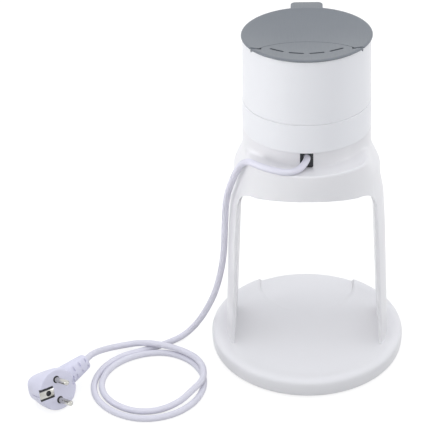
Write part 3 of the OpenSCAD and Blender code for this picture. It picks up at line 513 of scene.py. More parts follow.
def combine(piece, solids, how="DIFFERENCE"):
    """Takes solids away from a piece, or keeps what they share with it, or adds them."""
    for solid in solids:
        tool = solid if isinstance(solid, bpy.types.Object) else temporary(solid)
        step = piece.modifiers.new("combine", "BOOLEAN")
        step.operation, step.solver, step.object = how, "EXACT", tool
        apply_modifiers(piece)
        if tool is not solid:
            bpy.data.objects.remove(tool)
    return piece


def shade(piece, angle=35):
    """Smooth shading, with a hard edge where two faces meet at more than an angle."""
    piece.data.polygons.foreach_set("use_smooth", np.ones(len(piece.data.polygons), bool))
    piece.data.set_sharp_from_angle(angle=math.radians(angle))
    return piece


# %% [markdown]
# ## The plug
# A moulded plug is a round face on a body that narrows to a flat grip, with a thick ribbed relief
# where the cord leaves it. Two lofts give the two forms, and a voxel remesh with a little smoothing
# melts them together, as the mould maker's fillets do. The slots and holes are cut afterwards, so
# they stay sharp. All of it is worked out in the plug's own frame: the face at z = 0, the pins
# along +z and the cord towards +y.

# %% The plug's own frame
plug_at, plug_turn = np.array([218, 102, 19.4]), np.radians([-19, 69, 114])
cx, cy, cz = np.cos(plug_turn)
sx, sy, sz = np.sin(plug_turn)
plug_axes = (np.array([[cz, -sz, 0], [sz, cz, 0], [0, 0, 1]])
             @ np.array([[cy, 0, sy], [0, 1, 0], [-sy, 0, cy]])
             @ np.array([[1, 0, 0], [0, cx, -sx], [0, sx, cx]]))


def on_plug(points):
    """The plug's own points as points of the model: turned about X, Y, Z and moved."""
    return np.asarray(points) @ plug_axes.T + plug_at


def over_table(points, gap=0.25):
    """Points below the table's top are moved along the plug's x until they lie on it."""
    height = on_plug(points)[..., 2]
    moved = points.copy()
    moved[..., 0] -= np.minimum(height - gap, 0) / plug_axes[2, 0]
    return moved


print("the face looks up by", round(math.degrees(math.asin(plug_axes[2, 2])), 1), "degrees")


# %% Lofts
def oval(half_a, half_b, power, count=96):
    """A superellipse: at angle t its radius is (|cos t / a|^n + |sin t / b|^n)^(-1/n)."""
    t = 2 * np.pi * np.arange(count) / count
    r = (np.abs(np.cos(t) / half_a) ** power + np.abs(np.sin(t) / half_b) ** power) ** (-1 / power)
    return np.stack([r * np.cos(t), r * np.sin(t)], -1)


def lofted(name, grid):
    """A closed skin over rings of points, with both ends gathered in their middles."""
    ends = [np.repeat(ring.mean(0)[None], len(ring), 0)[None] for ring in (grid[0], grid[-1])]
    grid = np.concatenate([ends[0], grid, ends[1]])
    mesh = bpy.data.meshes.new(name)
    mesh.from_pydata(on_plug(over_table(grid)).reshape(-1, 3) * MM, [],
                     grid_faces(*grid.shape[:2], False, True))
    return put(name, close_up(mesh))


plug_r, plug_depth = 18.6, 26.5
depth = np.array([0, 0, 2.5, 5, 8, 11, 14, 17, 20, 22.5, 24.8, 26, plug_depth, plug_depth])
inset = np.array([1.6, 0.4, 0, 0, 0, 0, 0, 0, 0, 0.1, 0.7, 1.8, 3.2, 4.5])
narrow = ease((depth - 4) / 18)
body_rings = np.stack([
    np.c_[oval(plug_r - 6.6 * n - i, plug_r - 1.4 * n - i, 2 + 1.4 * n) - [1.2 * n, 0],
          np.full(96, -d)] for d, i, n in zip(depth, inset, narrow)])
plug = lofted("plug_skin", body_rings)

# %% The relief, a loft along its own line
relief_power = 3.0
relief_t = np.array([0, 0.2, 0.4, 0.6, 0.8, 0.94, 0.99, 1])
relief_inset = np.array([0, 0, 0, 0, 0, 0.1, 0.6, 1.6])
relief_from, relief_to = np.array([-1.5, 8, -14.5]), np.array([-12.2, 40.2, -12.6])
heading = (relief_to - relief_from) / np.linalg.norm(relief_to - relief_from)
across_x = np.cross(heading, [0, 0, 1])
across_x /= np.linalg.norm(across_x)
across_z = np.cross(across_x, heading)


def relief_half(t):
    """Half the relief's width and half its thickness at a share t of its length."""
    return 11 - 4.4 * t, 9.4 - 3.8 * t


relief_rings = []
for t, i in zip(relief_t, relief_inset):
    half_x, half_z = relief_half(t)
    ring = oval(half_x - i, half_z - i, relief_power)
    relief_rings.append(relief_from + t * (relief_to - relief_from)
                        + ring[:, :1] * across_x + ring[:, 1:] * across_z)
relief = lofted("plug_relief", np.stack(relief_rings))
combine(plug, [relief], "UNION")
bpy.data.objects.remove(relief)
remesh = plug.modifiers.new("even", "REMESH")
remesh.mode, remesh.voxel_size = "VOXEL", 0.55 * MM
smooth = plug.modifiers.new("melt", "SMOOTH")
smooth.factor, smooth.iterations = 0.5, 10
apply_modifiers(plug)
print("plug:", len(plug.data.polygons), "faces")


# %% Slots, holes and ribs cut into the plug
def plug_box(low, high):
    """A box between two corners in the plug's frame, as points and faces in the model."""
    outline = np.array([(low[0], low[1]), (high[0], low[1]), (high[0], high[1]), (low[0], high[1])])
    points, box_faces = prism(outline, low[2], high[2])
    return on_plug(points), box_faces


def plug_drum(radius, x, y, low, high):
    """A short round prism along the plug's axis."""
    points, drum_faces = prism(circle_outline(radius, 40, (x, y)), low, high)
    return on_plug(points), drum_faces


pin_x, pin_r, ring_r, earth_y, earth_r = 9.5, 2.4, 3.3, -10.3, 2.5
plate_half, slot_half, plate_end = 3.2, 5.3, -4.6
past_edge, hollow, plate_bed, proud, slot_deep = -20, -1.6, -0.5, 2, 1.4


def earth_slot(side, start, low, high):
    """The box of the slot on one side of the earth plate."""
    near, far = sorted([side * plate_half, side * slot_half])
    return plug_box((near, start, low), (far, plate_end, high))


cuts = [plug_drum(ring_r, side * pin_x, 0, hollow, proud) for side in (1, -1)]
cuts += [earth_slot(side, past_edge, hollow, proud) for side in (1, -1)]
cuts += [plug_box((-plate_half - 0.1, past_edge, plate_bed), (plate_half + 0.1, plate_end, proud)),
         plug_drum(earth_r + 0.4, 0, earth_y, -7, proud),
         plug_box((1.2, -21, -17), (2.0, -17.0, -3)),
         plug_box((-5, 15.2, -7), (0.5, 21, 1))]
for row in (0.5, 0.7, 0.9):
    middle_of_row = relief_from + row * (relief_to - relief_from)
    half, half_thick = relief_half(row)
    for side in (1, -1):
        for front in (1, -1):
            slot = slot_outline(half - 1.9, 1.5, 0.7) + np.array([side * (half + 1.5) / 2, 0])
            points, slot_faces = prism(slot, half_thick - slot_deep, 12)
            if front < 0:
                points[:, 2] *= -1
            turned_slot = (middle_of_row + points[:, :1] * across_x + points[:, 1:2] * heading
                           + points[:, 2:] * across_z)
            cuts.append((on_plug(turned_slot), slot_faces))
combine(plug, cuts)
shade(plug, 40)
wear(plug, "plug_pvc", "stand", "plug_body")
print("cuts:", len(cuts))


# %% Dark pieces that paint the shade in the plug's openings, and the metal parts
def joined(name, solids):
    """Several solids in one object."""
    points, all_faces, start = [], [], 0
    for p, f in solids:
        points.append(p)
        all_faces += [[k + start for k in face] for face in f]
        start += len(p)
    mesh = bpy.data.meshes.new(name)
    mesh.from_pydata(np.vstack(points) * MM, [], all_faces)
    return put(name, close_up(mesh))


# Dark discs and bars at the floors of the pin rings, the earth slots and the earth hole: painted shade in
# these recesses, not parts of the plug.
shade_floor_low = -1.7
recess_shade_pieces = joined("plug_painted_shade",
              [plug_drum(ring_r + 0.1, side * pin_x, 0, shade_floor_low, -0.5) for side in (1, -1)]
              + [earth_slot(side, -18.2, shade_floor_low, -0.6) for side in (1, -1)]
              + [plug_drum(earth_r + 0.5, 0, earth_y, -4, -1.2)])
shade(recess_shade_pieces)
wear(recess_shade_pieces, "dark_plastic", "stand")

plate_outline = np.array([(-plate_half, -19.0), (plate_half, -19.0), (plate_half, plate_end),
                          (-plate_half, plate_end)])
plate_points, plate_faces = prism(plate_outline, plate_bed, 0.35)
plate = temporary((on_plug(plate_points), plate_faces))
plate.name = "plug_earth_plate"
bevel = plate.modifiers.new("edges", "BEVEL")
bevel.width, bevel.segments = 0.25 * MM, 2
apply_modifiers(plate)
combine(plate, [plug_drum(earth_r, 0, earth_y, -3, 2)])
shade(plate)
wear(plate, "nickel", "stand", "plug_earth")

root_r, root_z, pin_sides = 1.9, -8, 40
pin_line = np.array([(0, root_z), (root_r, root_z), (root_r, 0), (pin_r, 0), (pin_r, 16.6),
                     (2.3, 17.6), (1.9, 18.4), (1.1, 18.9), (0, 19)])
pin_points = (turned(pin_line, pin_sides) / MM).reshape(-1, 3)
pin_faces = grid_faces(len(pin_line), pin_sides, False, True).tolist()
pins = joined("plug_pins_skin",
              [(on_plug(pin_points + [side * pin_x, 0, 0]), pin_faces) for side in (1, -1)])
shade(pins)
wear(pins, "nickel", "stand", "plug_pins")

# %% [markdown]
# ## The casings
# The head is two turned shells, one on the other. The lower one's top edge is rounded and stands
# out by a hair, so the joint shows as a fine line. A turned shell is one section carried round the
# axis, and the whole look is in that section: the wall, the small radius at each edge and the
# slight taper that lets the moulding leave its tool. The upper one is notched at the hinge's ends,
# where the lid's edge dips when it opens.

# %% Levels and radii of the head, in millimetres
head_z, seam_z, casing_top = 229.5, 255.4, 311.1
casing_r, casing_draft, wall = 54.6, 1.8, 2.5


def casing_at(z):
    """The casing's radius falls evenly from its foot to its top."""
    return casing_r - casing_draft * (z - head_z) / (casing_top - head_z)


seam_r = casing_at(seam_z)
round_count = 192
upper_section = rounded([
    (seam_r - 0.9, seam_z, 0.05), (seam_r - 0.9, seam_z + 0.15, 0.05),
    (seam_r - 0.15, seam_z + 0.15, 0.2),
    (casing_at(casing_top), casing_top, 0.8), (casing_at(casing_top) - wall, casing_top, 0.4),
    (casing_at(casing_top) - wall, 299.9, 0.3), (45.6, 299.9, 0.4), (45.6, 296.9, 0.4),
    (seam_r - wall, 296.0, 0.3), (seam_r - wall, seam_z, 0.2)])
upper = add_piece("casing_upper_skin", turned(upper_section, round_count),
                  grid_faces(len(upper_section), round_count, True, True))
cut_low, cut_high = 300, 316
notch_low = 310.0
hinge_notch = np.array([(38, 27.2), (45.6, 27.2), (45.6, 30.4), (38, 30.4)])
combine(upper, [prism(hinge_notch * [side, 1], notch_low, cut_high) for side in (1, -1)])
shade(upper)
wear(upper, "head_plastic", "stand", "upper_casing")

# %% The lower casing
lower_section = rounded([
    (8.3, head_z, 0.2), (casing_r, head_z, 1.4), (seam_r + 0.2, seam_z - 0.1, 1.1),
    (seam_r - 0.9, seam_z - 0.1, 0.05), (seam_r - 0.9, seam_z, 0.05),
    (seam_r - wall, seam_z, 0.2), (seam_r - wall - 1.6, seam_z - 1.5, 0.6),
    (casing_r - wall, head_z + wall + 1, 0.8), (casing_r - wall - 1, head_z + wall, 0.5),
    (8.3, head_z + wall, 0.3)])
lower = add_piece("casing_lower_skin", turned(lower_section, round_count),
                  grid_faces(len(lower_section), round_count, True, True))
wear(lower, "head_plastic", "stand", "lower_casing")

# %% [markdown]
# ## The stand
# The stand is one moulding: a collar with a ledge for the cord, and two broad legs. It could be cut
# out of a turned body, but then the arch's edges would be ragged. Here the grid itself follows the
# arch: its columns run down to the arch's edge, and on down to the foot where a leg is. The ledge
# behind and the shoulder at the sides are two section lines with the same number of points, and each
# column takes a share of both.


# %% Section lines of the stand, as (radius, height) in millimetres
def softened(line, times=2):
    """Corner cutting: each stretch gives its points at one and three quarters; the ends stay."""
    for _ in range(times):
        a, b = line[:-1], line[1:]
        inner = np.stack([0.75 * a + 0.25 * b, 0.25 * a + 0.75 * b], 1).reshape(-1, 2)
        line = np.vstack([line[:1], inner[1:-1], line[-1:]])
    return line


neck_top = 229.6
leg_points = [(74.6, 13), (72.8, 57.8), (71, 93.6), (69.5, 127.7), (67.8, 153.2), (66.4, 169.4),
              (65.1, 178), (64.2, 187)]
ledge_line = softened(np.array(leg_points + [
    (64.2, 195), (64.2, 205.5), (64.2, 211.5), (63.6, 213), (62.6, 213.4), (61.4, 213),
    (59.5, 212.6), (52, 212.5), (49.5, 212.9), (48.3, 214.1), (48, 216), (48, 222.5), (48, neck_top)]))
shoulder_line = softened(np.array(leg_points + [
    (63.1, 193), (60.4, 199), (57.7, 205), (56.3, 208), (55.4, 211), (55.1, 213), (55, 215),
    (54.9, 217), (54.8, 219), (54.7, 221), (54.6, 224), (54.6, 227), (54.6, neck_top)]))
first_fixed = int(np.argmax(ledge_line[:, 1] >= 193.5))
print("section points:", len(ledge_line), "- free below row", first_fixed)


def leg_radius(z):
    """Radius of the legs' outer face at a height, read from the section line."""
    return np.interp(z, ledge_line[:first_fixed, 1], ledge_line[:first_fixed, 0])


# %% Columns, from the middle of a leg round to the back, and then all round
leg_half, leg_top, corner_wide, corner_high = 29.5, 166.0, 15.6, 17.6
corner_x, crown_low, crown_high = 43.0, 183.6, 189.3
leg_y = np.array([0, 5, 10, 14.8, 19.2, 23, 25.8, 27.8, leg_half])
t = np.linspace(0, np.pi / 2, 13)[1:]
crown_x = corner_x * np.cos(np.linspace(0, np.pi / 2, 16))[1:]
edge_x = np.r_[corner_x + corner_wide * np.cos(t), crown_x]
edge_z = np.r_[leg_top + corner_high * np.sin(t),
               crown_high - (crown_high - crown_low) * (crown_x / corner_x) ** 2]
quarter = np.r_[np.arcsin(leg_y / leg_radius(leg_top)), np.arccos(edge_x / leg_radius(edge_z))]
fillet = np.r_[np.ones(len(leg_y)), 1 - ease(np.degrees(t) / 50), np.zeros(len(crown_x))]
quarter_low = np.r_[np.full(len(leg_y), leg_top), edge_z]


def all_round(values):
    """One quarter's values, mirrored to a half and then to the full circle."""
    half = np.r_[values, values[::-1][1:]]
    return np.r_[half, half[1:-1]]


half_angle = np.r_[quarter, np.pi - quarter[::-1][1:]]
angle = np.r_[half_angle, np.pi + half_angle[1:-1]]
low, fillet, off_leg = all_round(quarter_low), all_round(fillet), all_round(quarter)
share = ease((np.pi / 2 - off_leg - math.radians(46)) / math.radians(30))
print("columns:", len(angle))

# %% Outer skin of the collar
blended = (ledge_line[:, None] * (1 - share)[None, :, None]
           + shoulder_line[:, None] * share[None, :, None])
stretch = np.array([0, 0.25, 0.45, 0.65, 0.83])[:, None]
z = low + stretch * (blended[first_fixed, :, 1] - low)
r = leg_radius(z) + ease(stretch) * (blended[first_fixed, :, 0] - leg_radius(z))
outer = np.concatenate([np.stack([r, z], -1), blended[first_fixed:]])
outer_skin = np.stack([outer[..., 0] * np.cos(angle), outer[..., 0] * np.sin(angle),
                       outer[..., 1]], -1)
print("collar grid:", outer_skin.shape[:2])

# %% Inner skin of the collar
hollow_r, hollow_top, neck_bore, edge_t = 61.6, 191, 45.4, 1.7
leg_foot = 13


def leg_inner(z):
    """The flat inner face of a leg: its distance from the axis at a height. Near the arch it comes
    inwards, so that the leg's edge is nowhere thinner than edge_t."""
    flat = np.interp(z, [leg_foot, leg_top], [66, 57.6])
    return np.minimum(flat, np.sqrt(leg_radius(z) ** 2 - leg_half ** 2) - edge_t)


top_inner = float(leg_inner(leg_top))
edge_in = math.hypot(top_inner, leg_half)
in_leg = low <= leg_top
border = outer_skin[0]
side_x, side_y = np.sign(np.cos(angle)), np.sign(np.sin(angle))
border_r = hollow_r + (edge_in - hollow_r) * fillet
border_x = np.where(in_leg, top_inner, np.abs(border[:, 0]) - edge_t * fillet)
arch_y = np.sqrt(np.maximum(border_r ** 2 - border_x ** 2, 0))
border_y = np.where(in_leg, np.abs(border[:, 1]), arch_y)
border_angle = np.arctan2(side_y * border_y, side_x * border_x)
border_angle = angle + np.angle(np.exp(1j * (border_angle - angle)))
border_r = np.hypot(border_x, border_y)
t = np.r_[stretch[:, 0], 1][:, None]
r = border_r + (hollow_r - border_r) * ease(3 * t)
z = low + (hollow_top - low) * t
lower_inner = np.stack([r * np.cos(border_angle), r * np.sin(border_angle), z + 0 * r], -1)
roof = np.array([(hollow_r, hollow_top), (52, 205), (neck_bore, 209.4), (neck_bore, neck_top)])
run = np.r_[0, np.cumsum(np.linalg.norm(np.diff(roof, axis=0), axis=1))]
t = np.linspace(0, 1, len(outer) - len(stretch))[1:, None]
a = border_angle + (angle - border_angle) * ease(t)
r, z = np.interp(t * run[-1], run, roof[:, 0]), np.interp(t * run[-1], run, roof[:, 1])
upper_inner = np.stack([r * np.cos(a), r * np.sin(a), z + 0 * a], -1)
inner_skin = np.concatenate([lower_inner, upper_inner])

# %% Legs: an outer and an inner skin each
leg_z = np.r_[leg_foot, 15.5, 19, np.linspace(26, 158, 22), 162.5, leg_top][:, None]
across = np.r_[-leg_y[::-1], leg_y[1:]]
leg_skins = []
for side in (1, -1):
    leg_skins.append([np.stack([side * x, across + 0 * leg_z, leg_z + 0 * across], -1) for x in (
        np.sqrt(leg_radius(leg_z) ** 2 - across ** 2), leg_inner(leg_z) + 0 * across)])

# %% All faces of the stand in one mesh
parts, faces, start = [], [], 0


def keep(grid, wrap=False):
    """Adds a grid to the parts and its faces to the list, and returns its point numbers."""
    global start
    rows, cols = grid.shape[:2]
    parts.append(grid.reshape(-1, 3))
    faces.append(grid_faces(rows, cols, False, wrap) + start)
    numbers = np.arange(rows * cols).reshape(rows, cols) + start
    start += rows * cols
    return numbers


def bridge(one, other, closed=False):
    """Quads between two lines of point numbers of the same length."""
    if closed:
        one, other = np.r_[one, one[:1]], np.r_[other, other[:1]]
    faces.append(np.stack([one[:-1], one[1:], other[1:], other[:-1]], -1))


outside, inside = keep(outer_skin, True), keep(inner_skin, True)
bridge(outside[-1], inside[-1], True)
open_edge = ~(in_leg & np.roll(in_leg, -1))
rim = np.stack([outside[0], np.roll(outside[0], -1), np.roll(inside[0], -1), inside[0]], -1)
faces.append(rim[open_edge])
for skins in leg_skins:
    out_numbers, in_numbers = keep(skins[0]), keep(skins[1])
    bridge(out_numbers[0], in_numbers[0])
    bridge(out_numbers[:, 0], in_numbers[:, 0])
    bridge(out_numbers[:, -1], in_numbers[:, -1])

stand_mesh = bpy.data.meshes.new("stand_skin")
stand_mesh.from_pydata(np.vstack(parts) * MM, [], np.vstack(faces))
stand = put("stand_skin", close_up(stand_mesh, 2e-6))
print("stand:", len(stand_mesh.vertices), "points,", len(stand_mesh.polygons), "faces")

# %% Round its edges, cut the notch for the cord
bevel = stand.modifiers.new("edges", "BEVEL")
bevel.width, bevel.segments = 0.75 * MM, 3
bevel.limit_method, bevel.angle_limit = "ANGLE", math.radians(40)
apply_modifiers(stand)
notch = prism(slot_outline(11, 24, 1.6) + np.array([0, 224.5]), 40.0, 60.0)
combine(stand, [along_y(notch)])
shade(stand, 40)
wear(stand, "stand_plastic", "stand", "stand_yoke")

# %% A dark plate that paints the shade inside the cord's notch, with the cord's way through it
# The notch's inside only lies in shade under the head; this dark plate is painted shade there.
notch_shade = prism(slot_outline(13.4, 22.0, 2.0) + np.array([0, 220.7]), 43.6, 46.6)
notch_shade_piece = temporary(along_y(notch_shade))
notch_shade_piece.name = "notch_painted_shade"
combine(notch_shade_piece, [along_y(prism(circle_outline(3.1, 32, (0, 221.9)), 42, 48))])
shade(notch_shade_piece)
wear(notch_shade_piece, "dark_plastic", "stand")
print("bushing:", len(notch_shade_piece.data.polygons), "faces")

# %% [markdown]
# ## The base
# The base is a shallow dish that rises smoothly to a round rim, and it is open below. Its section
# is carried round the axis, and the scoop in front, where a mug slides in, is a place where the top
# comes down to one level. The columns stand closer where the scoop cuts the rim, because that edge
# is the sharpest.

# %% Section of the base
base_r, dish_r, dish_z, dish_rise = 88.4, 66, 14.5, 1.3
r = np.linspace(0, dish_r, 44)
dish = np.c_[r, dish_z + dish_rise * (r / dish_r) ** 3]
rim = softened(np.array([(dish_r, 15.8), (71, 16.3), (75.5, 17.2), (79.5, 18.4), (83, 18.9), (86, 18.4),
                         (87.9, 16.6), (base_r, 13.9), (base_r, 12)]), 3)
skirt = softened(np.array([(base_r, 12), (base_r, 10.5), (88.2, 6.5), (87.6, 4), (86.6, 2.4),
                           (84.8, 1.5), (81.4, 1.5)]))
under = np.array([(80.85, 2.0), (80.85, 4.4), (78.7, 4.6), (78.7, 11.6), (78.2, 11.9), (0, 11.9)])
base_section = np.vstack([dish, rim[1:], skirt[1:], under])
print("section points:", len(base_section))

# %% The scoop
scoop_r, scoop_y = 46.0, -68.0
crossing = 33.3
fine = np.linspace(-3.6, 3.6, 25)
a = np.r_[np.arange(0, 360, 1.8), crossing - 90 + fine, -90 - crossing + fine] % 360
a = np.radians(np.unique(np.round(a, 3)))
points = np.stack([base_section[:, :1] * np.cos(a), base_section[:, :1] * np.sin(a),
                   base_section[:, 1:] + 0 * a], -1)
away = np.hypot(points[..., 0], points[..., 1] - scoop_y)
inside_scoop = ease((scoop_r + 0.4 - away) / 2.2)
radius = np.hypot(points[..., 0], points[..., 1])
floor_of_scoop = dish_z - 0.9 * ease((radius - 85.6) / 2.8)
over = np.maximum(points[..., 2] - floor_of_scoop, 0)
on_top = (np.arange(len(base_section)) < len(dish) + len(rim) + 3)[:, None]
points[..., 2] -= np.where(on_top, inside_scoop * over, 0)
base_mesh = bpy.data.meshes.new("base_skin")
base_mesh.from_pydata(points.reshape(-1, 3) * MM, [],
                      grid_faces(len(base_section), len(a), False, True))
base = put("base_skin", close_up(base_mesh, 5e-6))
shade(base, 50)
wear(base, "stand_plastic", "stand", "base_plate")
print("base:", len(base_mesh.vertices), "points")

# %% [markdown]
# ## The lid and the vent panel
# Both come out of one dished disc, so that its curve runs on over the parting line. The line itself
# is a circle: what lies outside it is the lid, what lies inside is the panel with the steam slots.
# The lid ends in two small barrels about the hinge line, and the panel stops short of them, so that
# the lid stands up behind the hinge without rubbing.

# %% The dished disc
lid_r, crest_r, lid_crest, lid_dish, lid_t = 54.0, 51.8, 312.8, 5.2, 2.2
disc_sides, lens_sides, past_lid = 180, 256, 60


def dish_at(r):
    """Height of the lid's top: the crest less a share of the dish that grows to the middle."""
    return lid_crest - lid_dish * (1 - (np.minimum(r, crest_r) / crest_r) ** 2)


def dished_disc(name, under):
    """The disc as a turned skin, with its rim's underside at a height."""
    r = np.linspace(0, crest_r, 30)
    rim = softened(np.array([(crest_r, lid_crest), (53.0, lid_crest), (53.8, 312.4), (lid_r, 312.0),
                             (53.9, 311.7), (53.6, under), (51.6, under), (49.3, under)]))
    low_r = r[r < 49.2][::-1]
    section = np.vstack([np.c_[r, dish_at(r)], rim[1:], np.c_[low_r, dish_at(low_r) - lid_t]])
    mesh = bpy.data.meshes.new(name)
    points = turned(section, disc_sides)
    mesh.from_pydata(points.reshape(-1, 3), [], grid_faces(len(section), disc_sides, False, True))
    return put(name, close_up(mesh))


# %% The lid
lens_r, lens_y, hinge_y, hinge_z = 45.3, 51.5, 27.5, 310.2
barrel_x, barrel_end, barrel_r, swing = 39.6, 45.0, 1.5, 30.3
lid = dished_disc("lid_skin", 311.3)
tab_low = lid_crest - 3.7
tab = prism(slot_outline(27.5, 23, 4.5, 8) + np.array([0, -56.1]), tab_low, tab_low + 2.4)
tab_piece = temporary(tab)
bevel = tab_piece.modifiers.new("edges", "BEVEL")
bevel.width, bevel.segments = 0.6 * MM, 3
apply_modifiers(tab_piece)
combine(lid, [tab_piece], "UNION")
bpy.data.objects.remove(tab_piece)


def from_y(start):
    """The outline of all that lies behind a line across the lid."""
    return np.array([(-past_lid, start), (past_lid, start), (past_lid, past_lid), (-past_lid, past_lid)])


behind = prism(from_y(hinge_y), cut_low, cut_high)
combine(lid, [behind, prism(circle_outline(lens_r, lens_sides, (0, lens_y)), cut_low, cut_high)])
barrel = prism(circle_outline(barrel_r, 32, (hinge_y, hinge_z)), barrel_x, barrel_end)
points, barrel_faces = along_x(barrel)
combine(lid, [(points * [side, 1, 1], barrel_faces) for side in (1, -1)], "UNION")
shade(lid, 40)
wear(lid, "lid_plastic", "lid", "lid")
print("lid:", len(lid.data.polygons), "faces")

# %% The vent panel
panel = dished_disc("vent_panel_skin", 311.1)
parting_gap = 0.4
lens = circle_outline(lens_r - parting_gap, lens_sides, (0, lens_y))
keep_outline = temporary(prism(lens, cut_low, cut_high))
combine(keep_outline, [prism(from_y(swing), cut_low - 1, cut_high + 1)], "UNION")
combine(panel, [keep_outline], "INTERSECT")
bpy.data.objects.remove(keep_outline)
room_x = 36.4
hinge_room = np.array([(room_x, 0), (past_lid, 0), (past_lid, swing), (38.2, swing),
                       (room_x, swing - 1)])
openings = [prism(hinge_room * [side, 1], cut_low, cut_high) for side in (1, -1)]
slot_long, slot_wide, slot_step, slot_arc_r, slot_arc_y = 12.6, 2.6, 17.2, 55.0, -22.0
for k in range(4):
    turn_by = math.radians((k - 1.5) * slot_step)
    c, s = math.cos(turn_by), math.sin(turn_by)
    outline = slot_outline(slot_long, slot_wide, 1.29) + np.array([0, slot_arc_r])
    outline = outline @ np.array([[c, s], [-s, c]]) + np.array([0, slot_arc_y])
    openings.append(prism(outline, cut_low, cut_high))
combine(panel, openings)
shade(panel, 40)
wear(panel, "lid_plastic", "stand", "vent_panel")
print("vent panel:", len(panel.data.polygons), "faces")

# %% [markdown]
# ## The two springs
# A spring is a round wire wound on a helix, and each is a mesh of its own, made at the length of its
# part's box.


# %% Springs
def spring(node, along, turns, travel, wire_r=0.35, wire_sides=8):
    """A wire on a helix in a node's box: middle line (R cos a, R sin a, rise times a), and round it a
    circle of wire_r in the plane of the radius and the axis."""
    low, high = (np.array(corner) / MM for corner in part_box(node))
    middle, length = (low + high) / 2, high[along] - low[along]
    side = [k for k in range(3) if k != along]
    coil_r = (high - low)[side].max() / 2 - wire_r
    t = np.linspace(0, 1, turns * 32 + 1)[:, None]
    b = 2 * np.pi * np.arange(wire_sides) / wire_sides
    a = 2 * np.pi * turns * t
    size = wire_r * np.interp(t, [0, 0.004, 0.996, 1], [0.02, 1, 1, 0.02])
    r = coil_r + size * np.cos(b)
    rise = wire_r + (length - 2 * wire_r) * t + size * np.sin(b)
    grid = np.empty(r.shape + (3,))
    grid[..., side[0]] = middle[side[0]] + r * np.cos(a)
    grid[..., side[1]] = middle[side[1]] + r * np.sin(a)
    grid[..., along] = low[along] + rise
    mesh = bpy.data.meshes.new(node + "_wire")
    faces = grid_faces(*grid.shape[:2], False, True).tolist()
    last = (len(grid) - 1) * wire_sides
    ends = [list(range(wire_sides)), list(range(last + wire_sides - 1, last - 1, -1))]
    mesh.from_pydata(grid.reshape(-1, 3) * MM, [], faces + ends)
    piece = put(node + "_wire", close_up(mesh, 1e-8))
    shade(piece, 60)
    wear(piece, "steel", "stand", node)
    anchor = middle.copy()
    anchor[along] = high[along]
    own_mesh(piece)
    print(node, "is", round(length, 2), "mm long and keeps", round(1 - travel / length, 3))


ALONG_Y, ALONG_Z = 1, 2
spring("valve_spring", ALONG_Z, 4, 2.0)
spring("button_spring", ALONG_Y, 4, 2.0)

# %% [markdown]
# ## Lights
# A white product in a white room is drawn by its darker parts. Most of the light comes from the
# room, which is bright overhead and dark at the horizon. Two lamps with narrow beams light the head
# from the left and, weaker, from the right, and a third stands by the camera. To the camera and in
# reflections the room is plain white.

# %% What the camera sees by itself
def seen_directly(tree):
    """1 on rays from the camera, in reflections and through clear parts, and 0 on all others."""
    rays = tree.nodes.new("ShaderNodeLightPath")
    seen = add_node(tree, "ShaderNodeMath", operation="MAXIMUM")
    seen_all = add_node(tree, "ShaderNodeMath", operation="MAXIMUM")
    tree.links.new(rays.outputs["Is Camera Ray"], seen.inputs[0])
    tree.links.new(rays.outputs["Is Glossy Ray"], seen.inputs[1])
    tree.links.new(seen.outputs["Value"], seen_all.inputs[0])
    tree.links.new(rays.outputs["Is Transmission Ray"], seen_all.inputs[1])
    return seen_all.outputs["Value"]


# %% World
world = bpy.data.worlds.new("studio")
scene.world = world
world.use_nodes = True
tree = world.node_tree
tree.nodes.clear()
way = tree.nodes.new("ShaderNodeTexCoord")
height = tree.nodes.new("ShaderNodeSeparateXYZ")
level = add_node(tree, "ShaderNodeMapRange", {"To Min": 0.0, "To Max": 1.5})
walls = add_node(tree, "ShaderNodeBackground", {"Color": (0.94, 0.96, 1.0, 1)})
white = add_node(tree, "ShaderNodeBackground", {"Color": (1, 1, 1, 1), "Strength": 1.0})
choose = tree.nodes.new("ShaderNodeMixShader")
sky = tree.nodes.new("ShaderNodeOutputWorld")
link = tree.links.new
link(way.outputs["Generated"], height.inputs["Vector"])
link(height.outputs["Z"], level.inputs["Value"])
link(level.outputs["Result"], walls.inputs["Strength"])
link(seen_directly(tree), choose.inputs["Fac"])
link(walls.outputs["Background"], choose.inputs[1])
link(white.outputs["Background"], choose.inputs[2])
link(choose.outputs["Shader"], sky.inputs["Surface"])
print("world nodes:", len(tree.nodes))


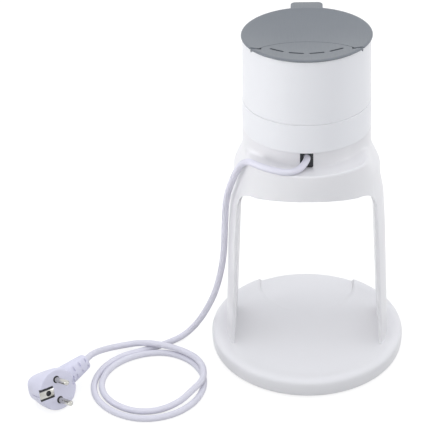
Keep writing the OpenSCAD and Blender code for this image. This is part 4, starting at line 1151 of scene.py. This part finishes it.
# %% Lamps
def softbox(name, place, aim, size, power, beam=180):
    """A square lamp at a place, facing a point: its power in watts and its beam in degrees."""
    lamp = bpy.data.lights.new(name, "AREA")
    lamp.size, lamp.energy, lamp.spread = size, power, math.radians(beam)
    thing = put(name, lamp)
    thing.location = place
    thing.rotation_euler = (Vector(aim) - Vector(place)).to_track_quat("-Z", "Y").to_euler()
    print(name, "-", power, "W")


head_middle = (0, 0, 0.28)
softbox("key_left", (0.9, 0.4, 0.33), head_middle, 0.4, 0.225, 34)
softbox("fill_right", (-0.9, 0.1, 0.33), head_middle, 0.4, 0.17, 46)
softbox("by_camera", (0.1, 1.3, 0.9), (0, 0, 0.17), 0.9, 1.9)

# %% [markdown]
# ## Floor
# The floor is plain and pale. To the camera it is nearly white by itself, and the last part of its
# brightness comes from the light that falls on it, so the object's shadow stays on it.

# %% Floor
floor_mesh = bpy.data.meshes.new("floor")
floor_mesh.from_pydata([(-6, -6, 0), (6, -6, 0), (6, 6, 0), (-6, 6, 0)], [], [(0, 1, 2, 3)])
floor = put("floor", floor_mesh)
floor_material = bpy.data.materials.new("floor_white")
floor_material.use_nodes = True
tree = floor_material.node_tree
tree.nodes.clear()
link = tree.links.new
paint = add_node(tree, "ShaderNodeBsdfDiffuse", {"Color": (0.6, 0.6, 0.6, 1)})
shadow = add_node(tree, "ShaderNodeBsdfDiffuse", {"Color": (0.3, 0.3, 0.3, 1)})
glow = add_node(tree, "ShaderNodeEmission", {"Color": (1, 1, 1, 1), "Strength": 0.8})
lit = tree.nodes.new("ShaderNodeAddShader")
choose = tree.nodes.new("ShaderNodeMixShader")
surface = tree.nodes.new("ShaderNodeOutputMaterial")
link(shadow.outputs["BSDF"], lit.inputs[0])
link(glow.outputs["Emission"], lit.inputs[1])
link(seen_directly(tree), choose.inputs["Fac"])
link(paint.outputs["BSDF"], choose.inputs[1])
link(lit.outputs["Shader"], choose.inputs[2])
link(choose.outputs["Shader"], surface.inputs["Surface"])
floor_mesh.materials.append(floor_material)
print("floor nodes:", len(tree.nodes))

# %% View settings
scene.view_settings.view_transform = "Standard"
